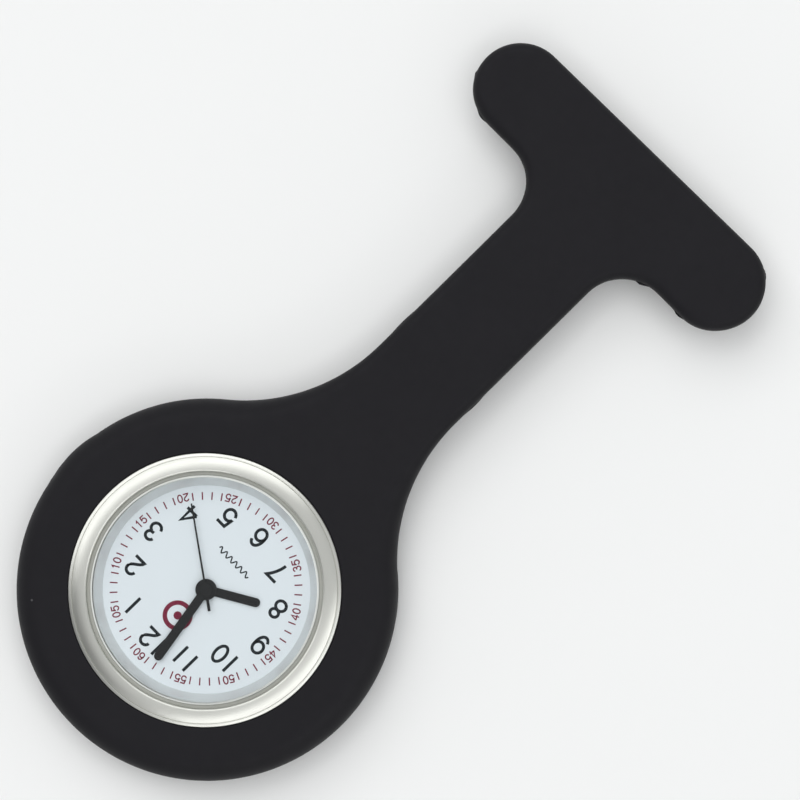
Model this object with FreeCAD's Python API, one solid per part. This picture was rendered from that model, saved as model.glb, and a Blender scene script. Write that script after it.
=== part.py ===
import FreeCAD, Part
import math
import os

# Fob watch worn upside down on a uniform: a quartz watch head pushed into a one-piece
# silicone holder, whose strap ends in a T-bar with a brooch pin behind it.
# Millimetres. Origin: centre of the case back's flat outer face. +Z: out of the dial.
# +Y: from the dial to the T-bar. The dial's 12 points to -Y, its 3 (and the crown) to -X.

os.makedirs("parts", exist_ok=True)

# Silicone holder
HEAD_R = 21.13
STRAP_W = 12.0
FLARE_R = 21.3
BAR_Y = 63.57
BAR_W = 10.6
BAR_HALF = 20.4
BAR_FILLET = 5.3
HOLDER_TOP = 7.0
STRAP_BACK = 3.8
HEAD_BACK = 0.35
EDGE_ROUND = 1.4
HEAD_BACK_ROUND = 2.4
CROWN_BUMP = 0.2
BUMP_R = 12.0
CASE_GAP = 0.05

# Watch case
CASE_R = 14.5
CASE_INNER_R = 12.95
CASE_BOTTOM = 0.8
SHOULDER_Z = 5.2
NECK_R = 13.9
NECK_TOP = 6.1
GROOVE_R = 14.25
GROOVE_Z = (4.2, 4.7)
BEZEL_R = 15.05
BEZEL_BORE_R = 13.05
BEZEL_TOP = 7.5
BACK_FLAT_R = 11.2
BACK_T = 0.5
CRYSTAL_R = 12.6
CRYSTAL_Z = (6.2, 7.3)
GASKET_TOP = 6.95

# Dial and hands
DIAL_R = 12.85
DIAL_Z = (4.5, 4.9)
DIAL_OPEN_R = 11.5
DIAL_HOLE_R = 1.05
HAND_W = 1.0
HAND_HUB_R = 1.18
HOUR_LEN = 6.15
MINUTE_LEN = 9.5
SECOND_LEN = 9.63
SECOND_TAIL = 2.4
SECOND_W = 0.2
HOUR_TURN = 239.0
MINUTE_TURN = 349.8
SECOND_TURN = 124.7
HOUR_HAND_Z = (5.05, 5.20)
MINUTE_HAND_Z = (5.35, 5.50)
SECOND_HAND_Z = (5.65, 5.75)

# Movement
MOVE_X = 15.3
MOVE_Y = 17.8
MOVE_CORNER_R = 10.4
PLATE_Z = (2.95, 4.35)
MOTION_FLOOR = 3.55
BRIDGE_Z = (1.35, 1.85)
PIVOT_R = 0.08
ARBOR_R = 0.12
RUN_GAP = 0.02
BATTERY_AT = (3.2, -5.4)
BATTERY_R = 3.4
BATTERY_Z = (0.95, 3.55)
COIL_X = 6.6
COIL_Z = 2.15
WINDING_Y = (-1.3, 5.0)
STATOR_Z = (2.45, 2.85)
BRIDGE_SCREWS = ((-4.2, 4.6), (3.2, 5.2), (-2.4, -3.2))
CLAMP_SCREW = (-1.5, -5.4)
DIAL_FEET = ((-6.2, 4.2), (-5.6, -5.6))

# Gear train: module, teeth and level of each pair
TRAIN_MODULE = 0.09
CENTRE_MODULE = 0.085
ROTOR_MODULE = 0.1
MOTION_MODULE = 0.1
HOUR_MODULE = 0.096
TRAIN_A = 34 * TRAIN_MODULE
ROTOR_A = 15 * ROTOR_MODULE
MOTION_A = 24 * MOTION_MODULE
SETTING_A = 28 * MOTION_MODULE
WHEEL_T = 0.15
SECOND_WHEEL_Z = 1.95
FIFTH_WHEEL_Z = 2.20
THIRD_WHEEL_Z = 2.42
CENTRE_WHEEL_Z = 2.68
MOTION_WHEEL_Z = 3.70
HOUR_WHEEL_Z = 4.05

# Crown and stem, along X
STEM_Z = 2.6
STEM_R = 0.35
CROWN_R = 1.75
CROWN_X = (-17.0, -14.6)
TUBE_R = 1.0
TUBE_BORE_R = 0.65
CLUTCH_X = (-4.95, -3.35)
CLUTCH_R = 0.7
LEVER_PIVOT = (-6.2, -2.2)
LEVER_PIN_X = -5.7
YOKE_PIVOT = (-4.6, -3.6)
CROWN_TRAVEL = 1.0

# Brooch pin, along X behind the T-bar
PIN_Z = 1.5
PIN_HINGE_X = -13.0
NEEDLE_R = 0.4
NEEDLE_SPAN = (-11.3, 11.3)
NEEDLE_TIP_X = 14.2
PIN_PLATE = (30.0, 4.8, 0.55)
BAND_X = 7.0
CATCH_X = (11.6, 14.6)
CATCH_BORE_R = 1.1
CATCH_MOUTH = 27.0
LOCK_X = (11.75, 14.45)
LOCK_R = 1.05
LOCK_BORE_R = 0.55
TAB_ANGLE = -60.0


def vec(x, y, z=0.0):
    return FreeCAD.Vector(x, y, z)


def box(x_span, y_span, z_span):
    corner = vec(min(x_span), min(y_span), min(z_span))
    size = [max(span) - min(span) for span in (x_span, y_span, z_span)]
    return Part.makeBox(size[0], size[1], size[2], corner)


def rod(r, z_span, at=(0.0, 0.0)):
    return Part.makeCylinder(r, z_span[1] - z_span[0], vec(at[0], at[1], z_span[0]))


def tube(r_in, r_out, z_span, at=(0.0, 0.0)):
    return rod(r_out, z_span, at).cut(rod(r_in, z_span, at))


def rod_x(r, x_span, y, z):
    return Part.makeCylinder(r, x_span[1] - x_span[0], vec(x_span[0], y, z), vec(1, 0, 0))


def tube_x(r_in, r_out, x_span, y, z):
    return rod_x(r_out, x_span, y, z).cut(rod_x(r_in, x_span, y, z))


def rod_y(r, y_span, x, z):
    return Part.makeCylinder(r, y_span[1] - y_span[0], vec(x, y_span[0], z), vec(0, 1, 0))


def bar(start, end, r, z_span):
    """A flat bar with round ends, r either side of the line from start to end."""
    length = math.hypot(end[0] - start[0], end[1] - start[1])
    turn = math.degrees(math.atan2(end[1] - start[1], end[0] - start[0]))
    middle = box((0, length), (-r, r), z_span)
    middle.rotate(vec(0, 0), vec(0, 0, 1), turn)
    middle.translate(vec(start[0], start[1]))
    return fuse([middle, rod(r, z_span, start), rod(r, z_span, end)])


def turned(points):
    """A solid of revolution about Z from a closed list of (radius, height)."""
    wire = Part.makePolygon([vec(r, 0, z) for r, z in points + points[:1]])
    return Part.Face(wire).revolve(vec(0, 0), vec(0, 0, 1), 360)


def fuse(shapes):
    return shapes[0].multiFuse(shapes[1:]).removeSplitter()


def cut(shape, tools):
    return shape.cut(Part.makeCompound(tools)) if tools else shape


def polar(r, degrees, at=(0.0, 0.0)):
    angle = math.radians(degrees)
    return (at[0] + r * math.cos(angle), at[1] + r * math.sin(angle))


def bearing(start, end):
    return math.degrees(math.atan2(end[1] - start[1], end[0] - start[0]))


def save(node, shape):
    if not shape.isValid():
        raise ValueError(node + " is not a valid shape")
    shape.exportStep("parts/" + node + ".step")


# Plan of the movement: the seconds, minutes and hours turn about the origin.
CENTRE = (0.0, 0.0)
THIRD = polar(TRAIN_A, 100)
FIFTH = polar(TRAIN_A, 20)
ROTOR = polar(ROTOR_A, 10, FIFTH)
MINUTE_WHEEL = polar(MOTION_A, 195)
SETTING_WHEEL = polar(SETTING_A, 180, MINUTE_WHEEL)


# silicone holder

def arc_edge(centre, r, start, end):
    """An arc of the outline from angle start to angle end, in degrees."""
    points = [vec(*polar(r, a, centre)) for a in (start, (start + end) / 2, end)]
    return Part.Arc(*points).toShape()


def line_edge(x0, y0, x1, y1):
    return Part.LineSegment(vec(x0, y0), vec(x1, y1)).toShape()


def bump_angle():
    """Half the angle, seen from the dial's centre, of the swelling over the crown."""
    d = HEAD_R + CROWN_BUMP - BUMP_R
    cosine = (HEAD_R ** 2 + d ** 2 - BUMP_R ** 2) / (2 * HEAD_R * d)
    return math.degrees(math.acos(cosine))


def head_arcs(start, end):
    """The head's outline from angle start, through the crown's swelling, to angle end."""
    half = bump_angle()
    d = HEAD_R + CROWN_BUMP - BUMP_R
    reach = HEAD_R * math.sin(math.radians(half))
    half_bump = math.degrees(math.asin(reach / BUMP_R))
    return [arc_edge(CENTRE, HEAD_R, start, 180 - half),
            arc_edge((-d, 0), BUMP_R, 180 - half_bump, 180 + half_bump),
            arc_edge(CENTRE, HEAD_R, 180 + half, end)]


def holder_outline():
    """Head, flared neck, strap and T-bar as one closed outline, anticlockwise."""
    w = STRAP_W / 2
    flare_y = math.sqrt((HEAD_R + FLARE_R) ** 2 - (w + FLARE_R) ** 2)
    meet = bearing(CENTRE, (w + FLARE_R, flare_y))
    bar_low = BAR_Y - BAR_W / 2
    bar_top = BAR_Y + BAR_W / 2
    end_r = BAR_W / 2
    end_x = BAR_HALF - end_r
    fillet_x = w + BAR_FILLET
    fillet_y = bar_low - BAR_FILLET
    edges = [line_edge(w, flare_y, w, fillet_y),
             arc_edge((fillet_x, fillet_y), BAR_FILLET, 180, 90),
             line_edge(fillet_x, bar_low, end_x, bar_low),
             arc_edge((end_x, BAR_Y), end_r, -90, 90),
             line_edge(end_x, bar_top, -end_x, bar_top),
             arc_edge((-end_x, BAR_Y), end_r, 90, 270),
             line_edge(-end_x, bar_low, -fillet_x, bar_low),
             arc_edge((-fillet_x, fillet_y), BAR_FILLET, 90, 0),
             line_edge(-w, fillet_y, -w, flare_y),
             arc_edge((-w - FLARE_R, flare_y), FLARE_R, 0, -meet)]
    edges += head_arcs(180 - meet, 360 + meet)
    edges.append(arc_edge((w + FLARE_R, flare_y), FLARE_R, 180 + meet, 180))
    return Part.Wire(edges)


def rounded_slab(outline, flat_z, other_z, r):
    """A slab between two heights, its outline's edge rounded at flat_z only."""
    slab = Part.Face(outline).extrude(vec(0, 0, abs(other_z - flat_z)))
    slab.translate(vec(0, 0, min(flat_z, other_z)))
    edges = [e for e in slab.Edges
             if max(abs(e.BoundBox.ZMin - flat_z), abs(e.BoundBox.ZMax - flat_z)) < 1e-6]
    return slab.makeFillet(r, edges)


def holder_body():
    outline = holder_outline()
    middle = (HOLDER_TOP + STRAP_BACK) / 2
    front = rounded_slab(outline, HOLDER_TOP, middle, EDGE_ROUND)
    back = rounded_slab(outline, STRAP_BACK, middle, EDGE_ROUND)
    head = rounded_slab(Part.Wire(head_arcs(0, 360)), HEAD_BACK, middle, HEAD_BACK_ROUND)
    return fuse([front, back, head])


def case_cavity():
    """The stepped space for the watch head, with a bead for the case's groove."""
    bore = CASE_R + CASE_GAP
    bezel_bore = BEZEL_R + CASE_GAP
    bead_r = GROOVE_R + CASE_GAP
    low = GROOVE_Z[0] + 0.1
    high = GROOVE_Z[1] - 0.1
    lip_r = NECK_R + 0.1
    lip_top = CASE_BOTTOM - CASE_GAP
    return turned([(0, -1), (lip_r, -1), (lip_r, lip_top), (bore, lip_top), (bore, low), (bead_r, low),
                   (bead_r, high), (bore, high), (bore, SHOULDER_Z - CASE_GAP),
                   (bezel_bore, SHOULDER_Z - CASE_GAP), (bezel_bore, HOLDER_TOP + 1), (0, HOLDER_TOP + 1)])


def crown_pocket():
    """Room for the crown and its travel, open to the back for a fingernail."""
    pocket_r = CROWN_R + 0.35
    reach = (CROWN_X[0] - CROWN_TRAVEL - 0.4, -CASE_R + 1.5)
    slot = box(reach, (-pocket_r, pocket_r), (HEAD_BACK - 1, STEM_Z))
    return rod_x(pocket_r, reach, 0, STEM_Z).fuse(slot)


def pin_recess():
    length, width, depth = PIN_PLATE
    return box((-length / 2 - 0.05, length / 2 + 0.05), (BAR_Y - width / 2 - 0.05, BAR_Y + width / 2 + 0.05),
               (STRAP_BACK - 1, STRAP_BACK + depth))


def pin_band(side):
    """A silicone band across the back of the pin's plate, which keeps the plate in."""
    x = side * BAND_X
    return box((x - 1.5, x + 1.5), (BAR_Y - 3.4, BAR_Y + 3.4), (STRAP_BACK - 0.7, STRAP_BACK))


def holder():
    body = cut(holder_body(), [case_cavity(), crown_pocket(), pin_recess()])
    return fuse([body, pin_band(-1), pin_band(1)])


# watch case

def case_body():
    inner = CASE_INNER_R
    ring = turned([(13.35, CASE_BOTTOM), (14.2, CASE_BOTTOM), (CASE_R, 1.1), (CASE_R, GROOVE_Z[0]),
                   (GROOVE_R, GROOVE_Z[0]), (GROOVE_R, GROOVE_Z[1]), (CASE_R, GROOVE_Z[1]),
                   (CASE_R, SHOULDER_Z), (NECK_R, SHOULDER_Z), (NECK_R, NECK_TOP), (inner, NECK_TOP),
                   (inner, 1.3), (13.35, 1.3)])
    return ring.cut(rod_x(TUBE_R, (-CASE_R - 1, -inner + 1), 0, STEM_Z))


def bezel():
    """Steel ring: polished outer bevel, a fine step, and a gently domed brushed top."""
    ring = turned([(BEZEL_BORE_R, NECK_TOP + 0.05), (NECK_R + 0.05, NECK_TOP + 0.05),
                   (NECK_R + 0.05, SHOULDER_Z), (BEZEL_R, SHOULDER_Z), (BEZEL_R, BEZEL_TOP - 0.55),
                   (14.75, BEZEL_TOP - 0.25), (14.65, BEZEL_TOP - 0.25), (14.6, BEZEL_TOP - 0.15),
                   (14.2, BEZEL_TOP - 0.05), (13.8, BEZEL_TOP), (13.4, BEZEL_TOP), (13.25, BEZEL_TOP - 0.05),
                   (BEZEL_BORE_R, BEZEL_TOP - 0.3)])
    return ring


def crystal():
    low, high = CRYSTAL_Z
    bevel = 0.2
    rim = [(CRYSTAL_R, low), (CRYSTAL_R, high - bevel), (CRYSTAL_R - bevel, high)]
    return turned([(0, low)] + rim + [(0, high)])


def crystal_gasket():
    return tube(CRYSTAL_R, BEZEL_BORE_R, (CRYSTAL_Z[0], GASKET_TOP))


def case_back():
    """Snap-on back with a bevelled rim and a notch to lever it off."""
    wall = (12.5, 12.9)
    back = turned([(0, 0), (BACK_FLAT_R, 0), (NECK_R, 0.55), (NECK_R, CASE_BOTTOM), (wall[1], CASE_BOTTOM),
                   (wall[1], 1.5), (wall[0], 1.5), (wall[0], BACK_T), (0, BACK_T)])
    notch = box((NECK_R - 0.4, NECK_R + 1), (-1, 1), (0.55, CASE_BOTTOM))
    notch.rotate(vec(0, 0), vec(0, 0, 1), 45)
    return back.cut(notch)


def caseback_gasket():
    return tube(12.95, 13.3, (CASE_BOTTOM, 1.28))


def stem_tube():
    return tube_x(TUBE_BORE_R, TUBE_R, (-15.9, -13.1), 0, STEM_Z)


# dial and hands

def dial():
    plate = tube(DIAL_HOLE_R, DIAL_R, DIAL_Z)
    return fuse([plate] + [rod(0.3, (DIAL_Z[0] - 0.7, DIAL_Z[0]), foot) for foot in DIAL_FEET])


def dial_ring():
    """The sloped ring between the dial and the crystal."""
    low = DIAL_Z[1]
    top = CRYSTAL_Z[0]
    return turned([(DIAL_OPEN_R, low), (12.9, low), (12.9, top), (12.4, top), (12.35, top - 0.05)])


def hand_bearing(turn):
    """Angle from +X of a hand that has turned clockwise from the dial's 12."""
    return -90.0 - turn


def baton_hand(length, turn, z_span, bore_r, pipe_low):
    r = HAND_W / 2
    tip = polar(length - r, hand_bearing(turn))
    hub = rod(HAND_HUB_R, z_span)
    pipe = rod(bore_r + 0.15, (pipe_low, z_span[0]))
    blank = fuse([bar(CENTRE, tip, r, z_span), hub, pipe])
    return blank.cut(rod(bore_r, (pipe_low, z_span[1])))


def hour_hand():
    return baton_hand(HOUR_LEN, HOUR_TURN, HOUR_HAND_Z, 0.75, 4.98)


def minute_hand():
    return baton_hand(MINUTE_LEN, MINUTE_TURN, MINUTE_HAND_Z, 0.42, 5.28)


def second_hand():
    z = SECOND_HAND_Z
    r = SECOND_W / 2
    along = hand_bearing(SECOND_TURN)
    needle = bar(CENTRE, polar(SECOND_LEN - r, along), r, z)
    tail = bar(CENTRE, polar(SECOND_TAIL - 1.5 * r, along + 180), 1.5 * r, z)
    hub = rod(0.75, z)
    pipe = rod(0.32, (5.53, z[0]))
    return fuse([needle, tail, hub, pipe]).cut(rod(ARBOR_R, (5.53, z[1] - 0.04)))


# gears

def gear(module, teeth, z_span, at, tooth_at):
    """A spur gear with straight-sided teeth, one of them centred at angle tooth_at."""
    pitch_r = module * teeth / 2
    root_r = pitch_r - 1.2 * module
    tip_r = pitch_r + 0.9 * module
    step = 360.0 / teeth
    corners = ((root_r, -0.29), (tip_r, -0.11), (tip_r, 0.11), (root_r, 0.29))
    points = []
    for i in range(teeth):
        for r, share in corners:
            points.append(vec(*polar(r, tooth_at + (i + share) * step, at), z_span[0]))
    wire = Part.makePolygon(points + points[:1])
    return Part.Face(wire).extrude(vec(0, 0, z_span[1] - z_span[0]))


def meshed(centre, other, teeth):
    """Where a tooth stands so that a gap faces the other gear's tooth."""
    return bearing(centre, other) + 180.0 / teeth


def spoked(wheel, z_span, at, r_in, r_out, spokes):
    """Cut the windows between a wheel's hub and rim, leaving straight spokes."""
    window = tube(r_in, r_out, z_span, at)
    for i in range(spokes):
        end = polar(r_out + 0.1, i * 360.0 / spokes + 15, at)
        window = window.cut(bar(at, end, 0.13, z_span))
    return wheel.cut(window)


def level(z):
    return (z, z + WHEEL_T)


def second_wheel():
    z = level(SECOND_WHEEL_Z)
    rim = gear(TRAIN_MODULE, 60, z, CENTRE, meshed(CENTRE, FIFTH, 60))
    rim = spoked(rim, z, CENTRE, 0.7, 2.25, 4)
    pinion = gear(TRAIN_MODULE, 8, (2.38, 2.62), CENTRE, bearing(CENTRE, THIRD))
    arbor = rod(ARBOR_R, (1.87, SECOND_HAND_Z[1] - 0.05))
    return fuse([rim, pinion, arbor, rod(PIVOT_R, (1.45, 1.87))])


def fifth_wheel():
    z = level(FIFTH_WHEEL_Z)
    rim = gear(ROTOR_MODULE, 24, z, FIFTH, meshed(FIFTH, ROTOR, 24))
    pinion = gear(TRAIN_MODULE, 8, (1.90, 2.20), FIFTH, bearing(FIFTH, CENTRE))
    return fuse([rim, pinion, rod(ARBOR_R, (1.87, 2.93), FIFTH), rod(PIVOT_R, (1.45, 3.2), FIFTH)])


def third_wheel():
    z = level(THIRD_WHEEL_Z)
    rim = gear(TRAIN_MODULE, 60, z, THIRD, meshed(THIRD, CENTRE, 60))
    rim = spoked(rim, z, THIRD, 0.7, 2.25, 4)
    pinion = gear(CENTRE_MODULE, 8, (2.57, 2.88), THIRD, bearing(THIRD, CENTRE))
    return fuse([rim, pinion, rod(ARBOR_R, (1.87, 2.93), THIRD), rod(PIVOT_R, (1.45, 3.2), THIRD)])


def centre_wheel():
    z = level(CENTRE_WHEEL_Z)
    rim = gear(CENTRE_MODULE, 64, z, CENTRE, meshed(CENTRE, THIRD, 64))
    rim = spoked(rim, z, CENTRE, 0.8, 2.3, 4)
    collar = rod(0.28, (z[1], 3.4))
    return rim.fuse(collar).cut(rod(ARBOR_R + 0.05, (z[0], 3.4)))


def cannon_pinion():
    pinion = gear(MOTION_MODULE, 12, (3.65, 3.95), CENTRE, bearing(CENTRE, MINUTE_WHEEL))
    pipe = rod(0.42, (2.88, MINUTE_HAND_Z[1]))
    blank = pinion.fuse(pipe).cut(rod(ARBOR_R + 0.05, (2.88, MINUTE_HAND_Z[1])))
    return blank.cut(rod(0.28, (2.88, 3.4)))


def minute_wheel():
    z = level(MOTION_WHEEL_Z)
    rim = gear(MOTION_MODULE, 36, z, MINUTE_WHEEL, meshed(MINUTE_WHEEL, CENTRE, 36))
    pinion = gear(HOUR_MODULE, 10, (z[1], 4.25), MINUTE_WHEEL, bearing(MINUTE_WHEEL, CENTRE))
    return rim.fuse(pinion).cut(rod(0.2 + RUN_GAP, (z[0], 4.25), MINUTE_WHEEL))


def hour_wheel():
    z = level(HOUR_WHEEL_Z)
    rim = gear(HOUR_MODULE, 40, z, CENTRE, meshed(CENTRE, MINUTE_WHEEL, 40))
    pipe = rod(0.75, (z[1], HOUR_HAND_Z[1]))
    return rim.fuse(pipe).cut(rod(0.47, (z[0], HOUR_HAND_Z[1])))


def setting_wheel():
    """Idle wheel that carries the crown's turn to the minute wheel when setting."""
    z = level(MOTION_WHEEL_Z)
    minute_tooth = meshed(MINUTE_WHEEL, CENTRE, 36)
    toward = bearing(MINUTE_WHEEL, SETTING_WHEEL)
    step = 360.0 / 36
    past_tooth = (toward - minute_tooth) % step / step
    phase = bearing(SETTING_WHEEL, MINUTE_WHEEL) + (0.5 + past_tooth) * 360.0 / 20
    rim = gear(MOTION_MODULE, 20, z, SETTING_WHEEL, phase)
    return rim.cut(rod(0.3 + RUN_GAP, z, SETTING_WHEEL))


def rotor_pinion():
    pinion = gear(ROTOR_MODULE, 6, (2.12, 2.40), ROTOR, bearing(ROTOR, FIFTH))
    return fuse([pinion, rod(0.15, (2.40, 2.90), ROTOR), rod(PIVOT_R, (1.45, 3.2), ROTOR)])


def rotor_magnet():
    return tube(0.15, 0.7, (2.48, 2.82), ROTOR)


# movement frame

def movement_outline(grow, z_span):
    half_x = MOVE_X / 2 + grow
    half_y = MOVE_Y / 2 + grow
    block = box((-half_x, half_x), (-half_y, half_y), z_span)
    return block.common(rod(MOVE_CORNER_R + grow, z_span))


def main_plate():
    """Carries the train on its back and the motion work in a recess under the dial."""
    low, high = PLATE_Z
    recess = (MOTION_FLOOR, high)
    tools = [rod(2.2, recess), rod(2.05, recess, MINUTE_WHEEL), rod(1.2, recess, SETTING_WHEEL)]
    tools.append(rod(0.47, (low, MOTION_FLOOR)))
    tools.append(rod(BATTERY_R + 0.05, (low, BATTERY_Z[1] + 0.05), BATTERY_AT))
    tools += [rod(PIVOT_R + RUN_GAP, (low, 3.25), at) for at in (THIRD, FIFTH, ROTOR)]
    tools += [rod(0.3, (low, 3.35), at) for at in BRIDGE_SCREWS + (CLAMP_SCREW,)]
    tools += [rod(0.33, (DIAL_Z[0] - 0.8, high), at) for at in DIAL_FEET]
    tools.append(rod_x(0.5, (-MOVE_X / 2, -2.9), 0, STEM_Z))
    tools.append(rod_x(CLUTCH_R + 0.05, (CLUTCH_X[0] - 0.1, CLUTCH_X[1] + 0.1), 0, STEM_Z))
    tools.append(rod_x(0.8, (-5.05, 0.05), 7.5, 2.45))
    plate = cut(movement_outline(0, PLATE_Z), tools)
    posts = [rod(0.2, (MOTION_FLOOR, 4.3), MINUTE_WHEEL), rod(0.3, (MOTION_FLOOR, 3.95), SETTING_WHEEL),
             rod(0.35, (1.85, low), LEVER_PIVOT), rod(0.3, (2.5, low), YOKE_PIVOT)]
    return fuse([plate] + posts)


def train_bridge():
    z = BRIDGE_Z
    left, right, lower = BRIDGE_SCREWS
    arms = [bar(left, right, 0.9, z), bar(CENTRE, (-0.9, 4.9), 1.1, z), bar(CENTRE, ROTOR, 0.9, z),
            bar(right, ROTOR, 0.8, z), bar(CENTRE, lower, 0.9, z)]
    pillars = [rod(0.65, (z[1], PLATE_Z[0]), at) for at in BRIDGE_SCREWS]
    holes = [rod(0.32, (z[0], PLATE_Z[0]), at) for at in BRIDGE_SCREWS]
    holes += [rod(PIVOT_R + RUN_GAP, z, at) for at in (CENTRE, THIRD, FIFTH, ROTOR)]
    return cut(fuse(arms + pillars), holes)


def movement_holder():
    """Plastic ring that centres the movement in the case."""
    z = (1.6, DIAL_Z[0])
    ring = rod(12.8, z).cut(movement_outline(0.05, z))
    slot = box((-13, -7), (-1.1, 1.1), (z[0], STEM_Z)).fuse(rod_x(1.1, (-13, -7), 0, STEM_Z))
    return ring.cut(slot)


def slotted_screw(at, head_z, head_r, shank_r, shank_top):
    head = rod(head_r, head_z, at)
    slot = box((at[0] - head_r, at[0] + head_r), (at[1] - 0.08, at[1] + 0.08), (head_z[0], head_z[0] + 0.12))
    return head.cut(slot).fuse(rod(shank_r, (head_z[1], shank_top), at))


def bridge_screws():
    head_z = (1.07, BRIDGE_Z[0])
    return Part.makeCompound([slotted_screw(at, head_z, 0.6, 0.3, 3.3) for at in BRIDGE_SCREWS])


def clamp_screw():
    return slotted_screw(CLAMP_SCREW, (2.47, 2.77), 0.55, 0.3, 3.3)


def dial_washer():
    """Dished spring ring that keeps the hour wheel down."""
    return turned([(0.85, 4.23), (1.0, 4.23), (1.85, 4.42), (1.85, 4.48), (1.7, 4.48), (0.85, 4.29)])


# electrics

def battery():
    low, high = BATTERY_Z
    can = rod(BATTERY_R, (low, high - 0.35), BATTERY_AT)
    return can.fuse(rod(BATTERY_R - 0.55, (high - 0.35, high), BATTERY_AT))


def battery_insulator():
    return rod(4.2, (BACK_T + 0.03, BACK_T + 0.13), BATTERY_AT)


def battery_clamp():
    """Spring strip over the battery, hooked to the plate at one end and screwed at the other."""
    x, y = BATTERY_AT
    wide = (y - 1.1, y + 1.1)
    left = x - BATTERY_R - 0.6
    right = x + BATTERY_R + 0.25
    low = 0.74
    top = PLATE_Z[0]
    strip = box((left, right + 0.2), wide, (low, low + 0.18))
    legs = [box((left, left + 0.2), wide, (low, top)), box((right, right + 0.2), wide, (low, top))]
    foot = box((CLAMP_SCREW[0] - 0.7, left + 0.2), wide, (top - 0.18, top))
    return fuse([strip, foot] + legs).cut(rod(0.3, (top - 0.18, top), CLAMP_SCREW))


def circuit_board():
    z = (1.45, 1.65)
    board = box((-6.6, 5.4), (6.15, 8.7), z).common(rod(MOVE_CORNER_R - 0.2, z))
    return cut(board, [rod(0.35, z, (x, 6.7)) for x in (-5.6, 4.6)])


def circuit_chip():
    chip = box((1.8, 3.4), (6.6, 8.0), (1.65, 2.25))
    return chip.makeFillet(0.2, [e for e in chip.Edges if e.BoundBox.ZMin > 1.66])


def quartz_crystal():
    can = rod_x(0.75, (-5.0, 0.0), 7.5, 2.45)
    leads = [rod_x(0.12, (0.0, 0.9), 7.5 + side * 0.3, 2.45) for side in (-1, 1)]
    return fuse([can] + leads)


def coil_core():
    ends = (WINDING_Y[0] - 1.1, WINDING_Y[1] + 1.1)
    strip = box((COIL_X - 0.3, COIL_X + 0.3), ends, (COIL_Z - 0.2, COIL_Z + 0.2))
    pads = [box((COIL_X - 0.4, COIL_X + 0.4), span, (COIL_Z - 0.2, STATOR_Z[0]))
            for span in ((ends[0], ends[0] + 0.8), (ends[1] - 0.8, ends[1]))]
    return fuse([strip] + pads)


def coil_bobbin():
    low, high = WINDING_Y
    flanges = [rod_y(0.78, y_span, COIL_X, COIL_Z)
               for y_span in ((low - 0.25, low), (high, high + 0.25))]
    sleeve = rod_y(0.45, (low, high), COIL_X, COIL_Z)
    core_hole = box((COIL_X - 0.3, COIL_X + 0.3), (low - 0.25, high + 0.25), (COIL_Z - 0.2, COIL_Z + 0.2))
    return fuse(flanges + [sleeve]).cut(core_hole)


def coil_winding():
    low, high = WINDING_Y
    return rod_y(0.72, (low, high), COIL_X, COIL_Z).cut(rod_y(0.45, (low, high), COIL_X, COIL_Z))


def stator():
    """Soft-iron plate around the rotor, with two small notches that set its rest position."""
    z = STATOR_Z
    x = ROTOR[0] + 0.89
    low = WINDING_Y[0] - 0.7
    high = WINDING_Y[1] + 0.7
    plate = fuse([rod(1.35, z, ROTOR), bar((x, low), (x, high), 0.45, z),
                  bar((x, low), (COIL_X, low), 0.38, z), bar((x, high), (COIL_X, high), 0.38, z)])
    notches = [rod(0.15, z, polar(0.95, a, ROTOR)) for a in (55, 235)]
    return cut(plate, [rod(0.95, z, ROTOR), rod(0.25, z, FIFTH)] + notches)


# crown and setting work

def stem():
    shaft = rod_x(STEM_R, (-16.2, -6.6), 0, STEM_Z)
    shoulder = rod_x(0.45, (-8.2, LEVER_PIN_X - 0.28), 0, STEM_Z)
    neck = rod_x(0.25, (LEVER_PIN_X - 0.28, LEVER_PIN_X + 0.28), 0, STEM_Z)
    square = box((LEVER_PIN_X + 0.28, CLUTCH_X[1]), (-0.28, 0.28), (STEM_Z - 0.28, STEM_Z + 0.28))
    pilot = rod_x(0.2, (CLUTCH_X[1], -3.0), 0, STEM_Z)
    return fuse([shaft, shoulder, neck, square, pilot])


def crown():
    """Fluted knob, hollow over the tube, with a socket for the stem."""
    outer, inner = CROWN_X
    knob = rod_x(CROWN_R, (outer + 0.25, inner), 0, STEM_Z)
    cap = Part.makeCone(CROWN_R - 0.35, CROWN_R, 0.25, vec(outer, 0, STEM_Z), vec(1, 0, 0))
    tools = [rod_x(1.15, (-16.1, inner), 0, STEM_Z), rod_x(1.4, (-15.5, -15.1), 0, STEM_Z),
             rod_x(STEM_R, (-16.2, inner), 0, STEM_Z)]
    flutes = 24
    for i in range(flutes):
        y, z = polar(CROWN_R + 0.08, i * 360.0 / flutes, (0, STEM_Z))
        tools.append(rod_x(0.16, (outer + 0.3, inner), y, z))
    return cut(knob.fuse(cap), tools)


def crown_gasket():
    return tube_x(TUBE_R, 1.4, (-15.48, -15.12), 0, STEM_Z)


def clutch_wheel():
    """Sliding pinion on the stem's square, grooved for the yoke, with a crown of teeth."""
    outer, inner = CLUTCH_X
    blank = rod_x(CLUTCH_R, CLUTCH_X, 0, STEM_Z)
    middle = (outer + inner) / 2
    groove = tube_x(0.5, CLUTCH_R + 0.1, (middle - 0.18, middle + 0.18), 0, STEM_Z)
    square = box((outer, inner), (-0.3, 0.3), (STEM_Z - 0.3, STEM_Z + 0.3))
    tools = [groove, square]
    for i in range(5):
        gap = box((inner - 0.15, inner), (-0.1, 0.1), (STEM_Z - 1, STEM_Z + 1))
        gap.rotate(vec(0, 0, STEM_Z), vec(1, 0, 0), i * 36)
        tools.append(gap)
    return cut(blank, tools)


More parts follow.
